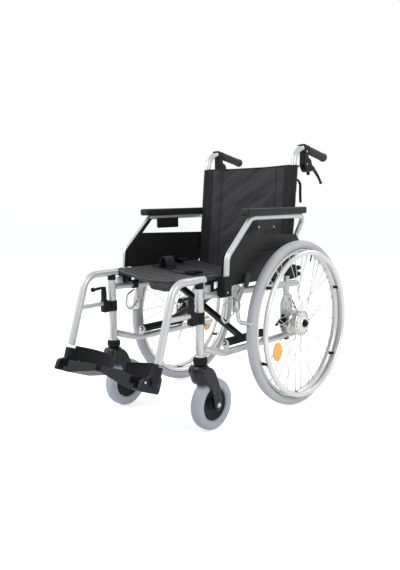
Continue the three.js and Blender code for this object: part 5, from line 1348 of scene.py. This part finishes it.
# %% [markdown]
# The lap belt lies across the seat. One end stands up in a loose arch near the right-hand
# edge, and the halves meet in a plain buckle. A spare tongue lies by the right-hand rail.
# Webbing has a darker edge on each side, so the band is drawn with a thin border.

# %% Lap belt
BELT_Y = -262


def seat_top(x):
    return 519.2 - min(seat_dip(x, BELT_Y - 24), seat_dip(x, BELT_Y), seat_dip(x, BELT_Y + 24))


belt_line = []
for i in range(257):
    x = 193 * (i / 128 - 1)
    rise = 46 * sin(pi * (x + 154) / 44) ** 0.5 if -154 < x < -110 else 0
    belt_line.append(Vector((x, BELT_Y, seat_top(x) + rise + 1.4)))
band = rect(-22.5, -1.4, 22.5, 1.4)
belt = piece("lap_belt_band", swept(belt_line, band, up=(0, 0, 1)), "belt_webbing", None, soften=0.6,
             swap="lap_belt")
edging = piece("lap_belt_edges", [swept([p + Vector((0, way * 22.6, 0)) for p in belt_line],
                                        rect(-1.3, -1.8, 1.3, 1.8), up=(0, 0, 1)) for way in (-1, 1)],
               "strap_cloth", None, soften=0.4)
low = seat_top(26) + 1
buckle = together(slab(rect(-26, -288, 26, -236), low, low + 9, axis="Z", corner=8),
                  slab(rect(-16, -279, 16, -245), low + 8, low + 12, axis="Z", corner=5))
tongue_line = smooth_line([(-196, -136, 516), (-184, -141, 529), (-166, -147, 536), (-148, -152, 531)], 5)
spare = swept(tongue_line, rect(-20, -1.4, 20, 1.4), up=(0, 0, 1))
clasp = piece("lap_belt_buckle", [buckle, spare], "black_plastic", None, soften=1.0, segments=3)
for made in (belt, edging, clasp):
    ride_both_rails(made)
print("lap belt", round(line_length(belt_line)), "mm long")

# %% [markdown]
# Each wheel carries one amber reflector on its spokes. It is an oval of moulded plastic in a
# thin pale rim, with a small clip behind it.

# %% Reflectors
tree, place, tint, relief, shader = surface("amber_reflector", (0.85, 0.42, 0.05), 0.25, grain=300, bump=0.1)
cells = new_node(tree, "TexVoronoi", {"Vector": place, "Scale": 320})
tree.links.new(cells.outputs["Distance"], relief.inputs["Height"])
# Painted glow: the reflector's plastic gives off a faint amber light of its own, though it is no lamp.
shader.inputs["Emission Color"].default_value = (0.9, 0.45, 0.05, 1)
shader.inputs["Emission Strength"].default_value = 0.12
for side, y, z in ((1, -145, 222), (-1, 142, 215)):
    piece("reflector", slab([(y + u, z + v) for u, v in ellipse(26, 32, 40)], 288.5, 294.5),
          "amber_reflector", "wheel", side, soften=1.6, segments=3)
    rim = slab([(y + u, z + v) for u, v in ellipse(27.4, 33.4, 40)], 289.6, 292.4)
    clip = slab(rect(y - 7, z - 7, y + 7, z + 7), 280, 288.6, corner=3)
    piece("reflector_rim", [rim, clip], "silver_paint", "wheel", side, soften=0.8)
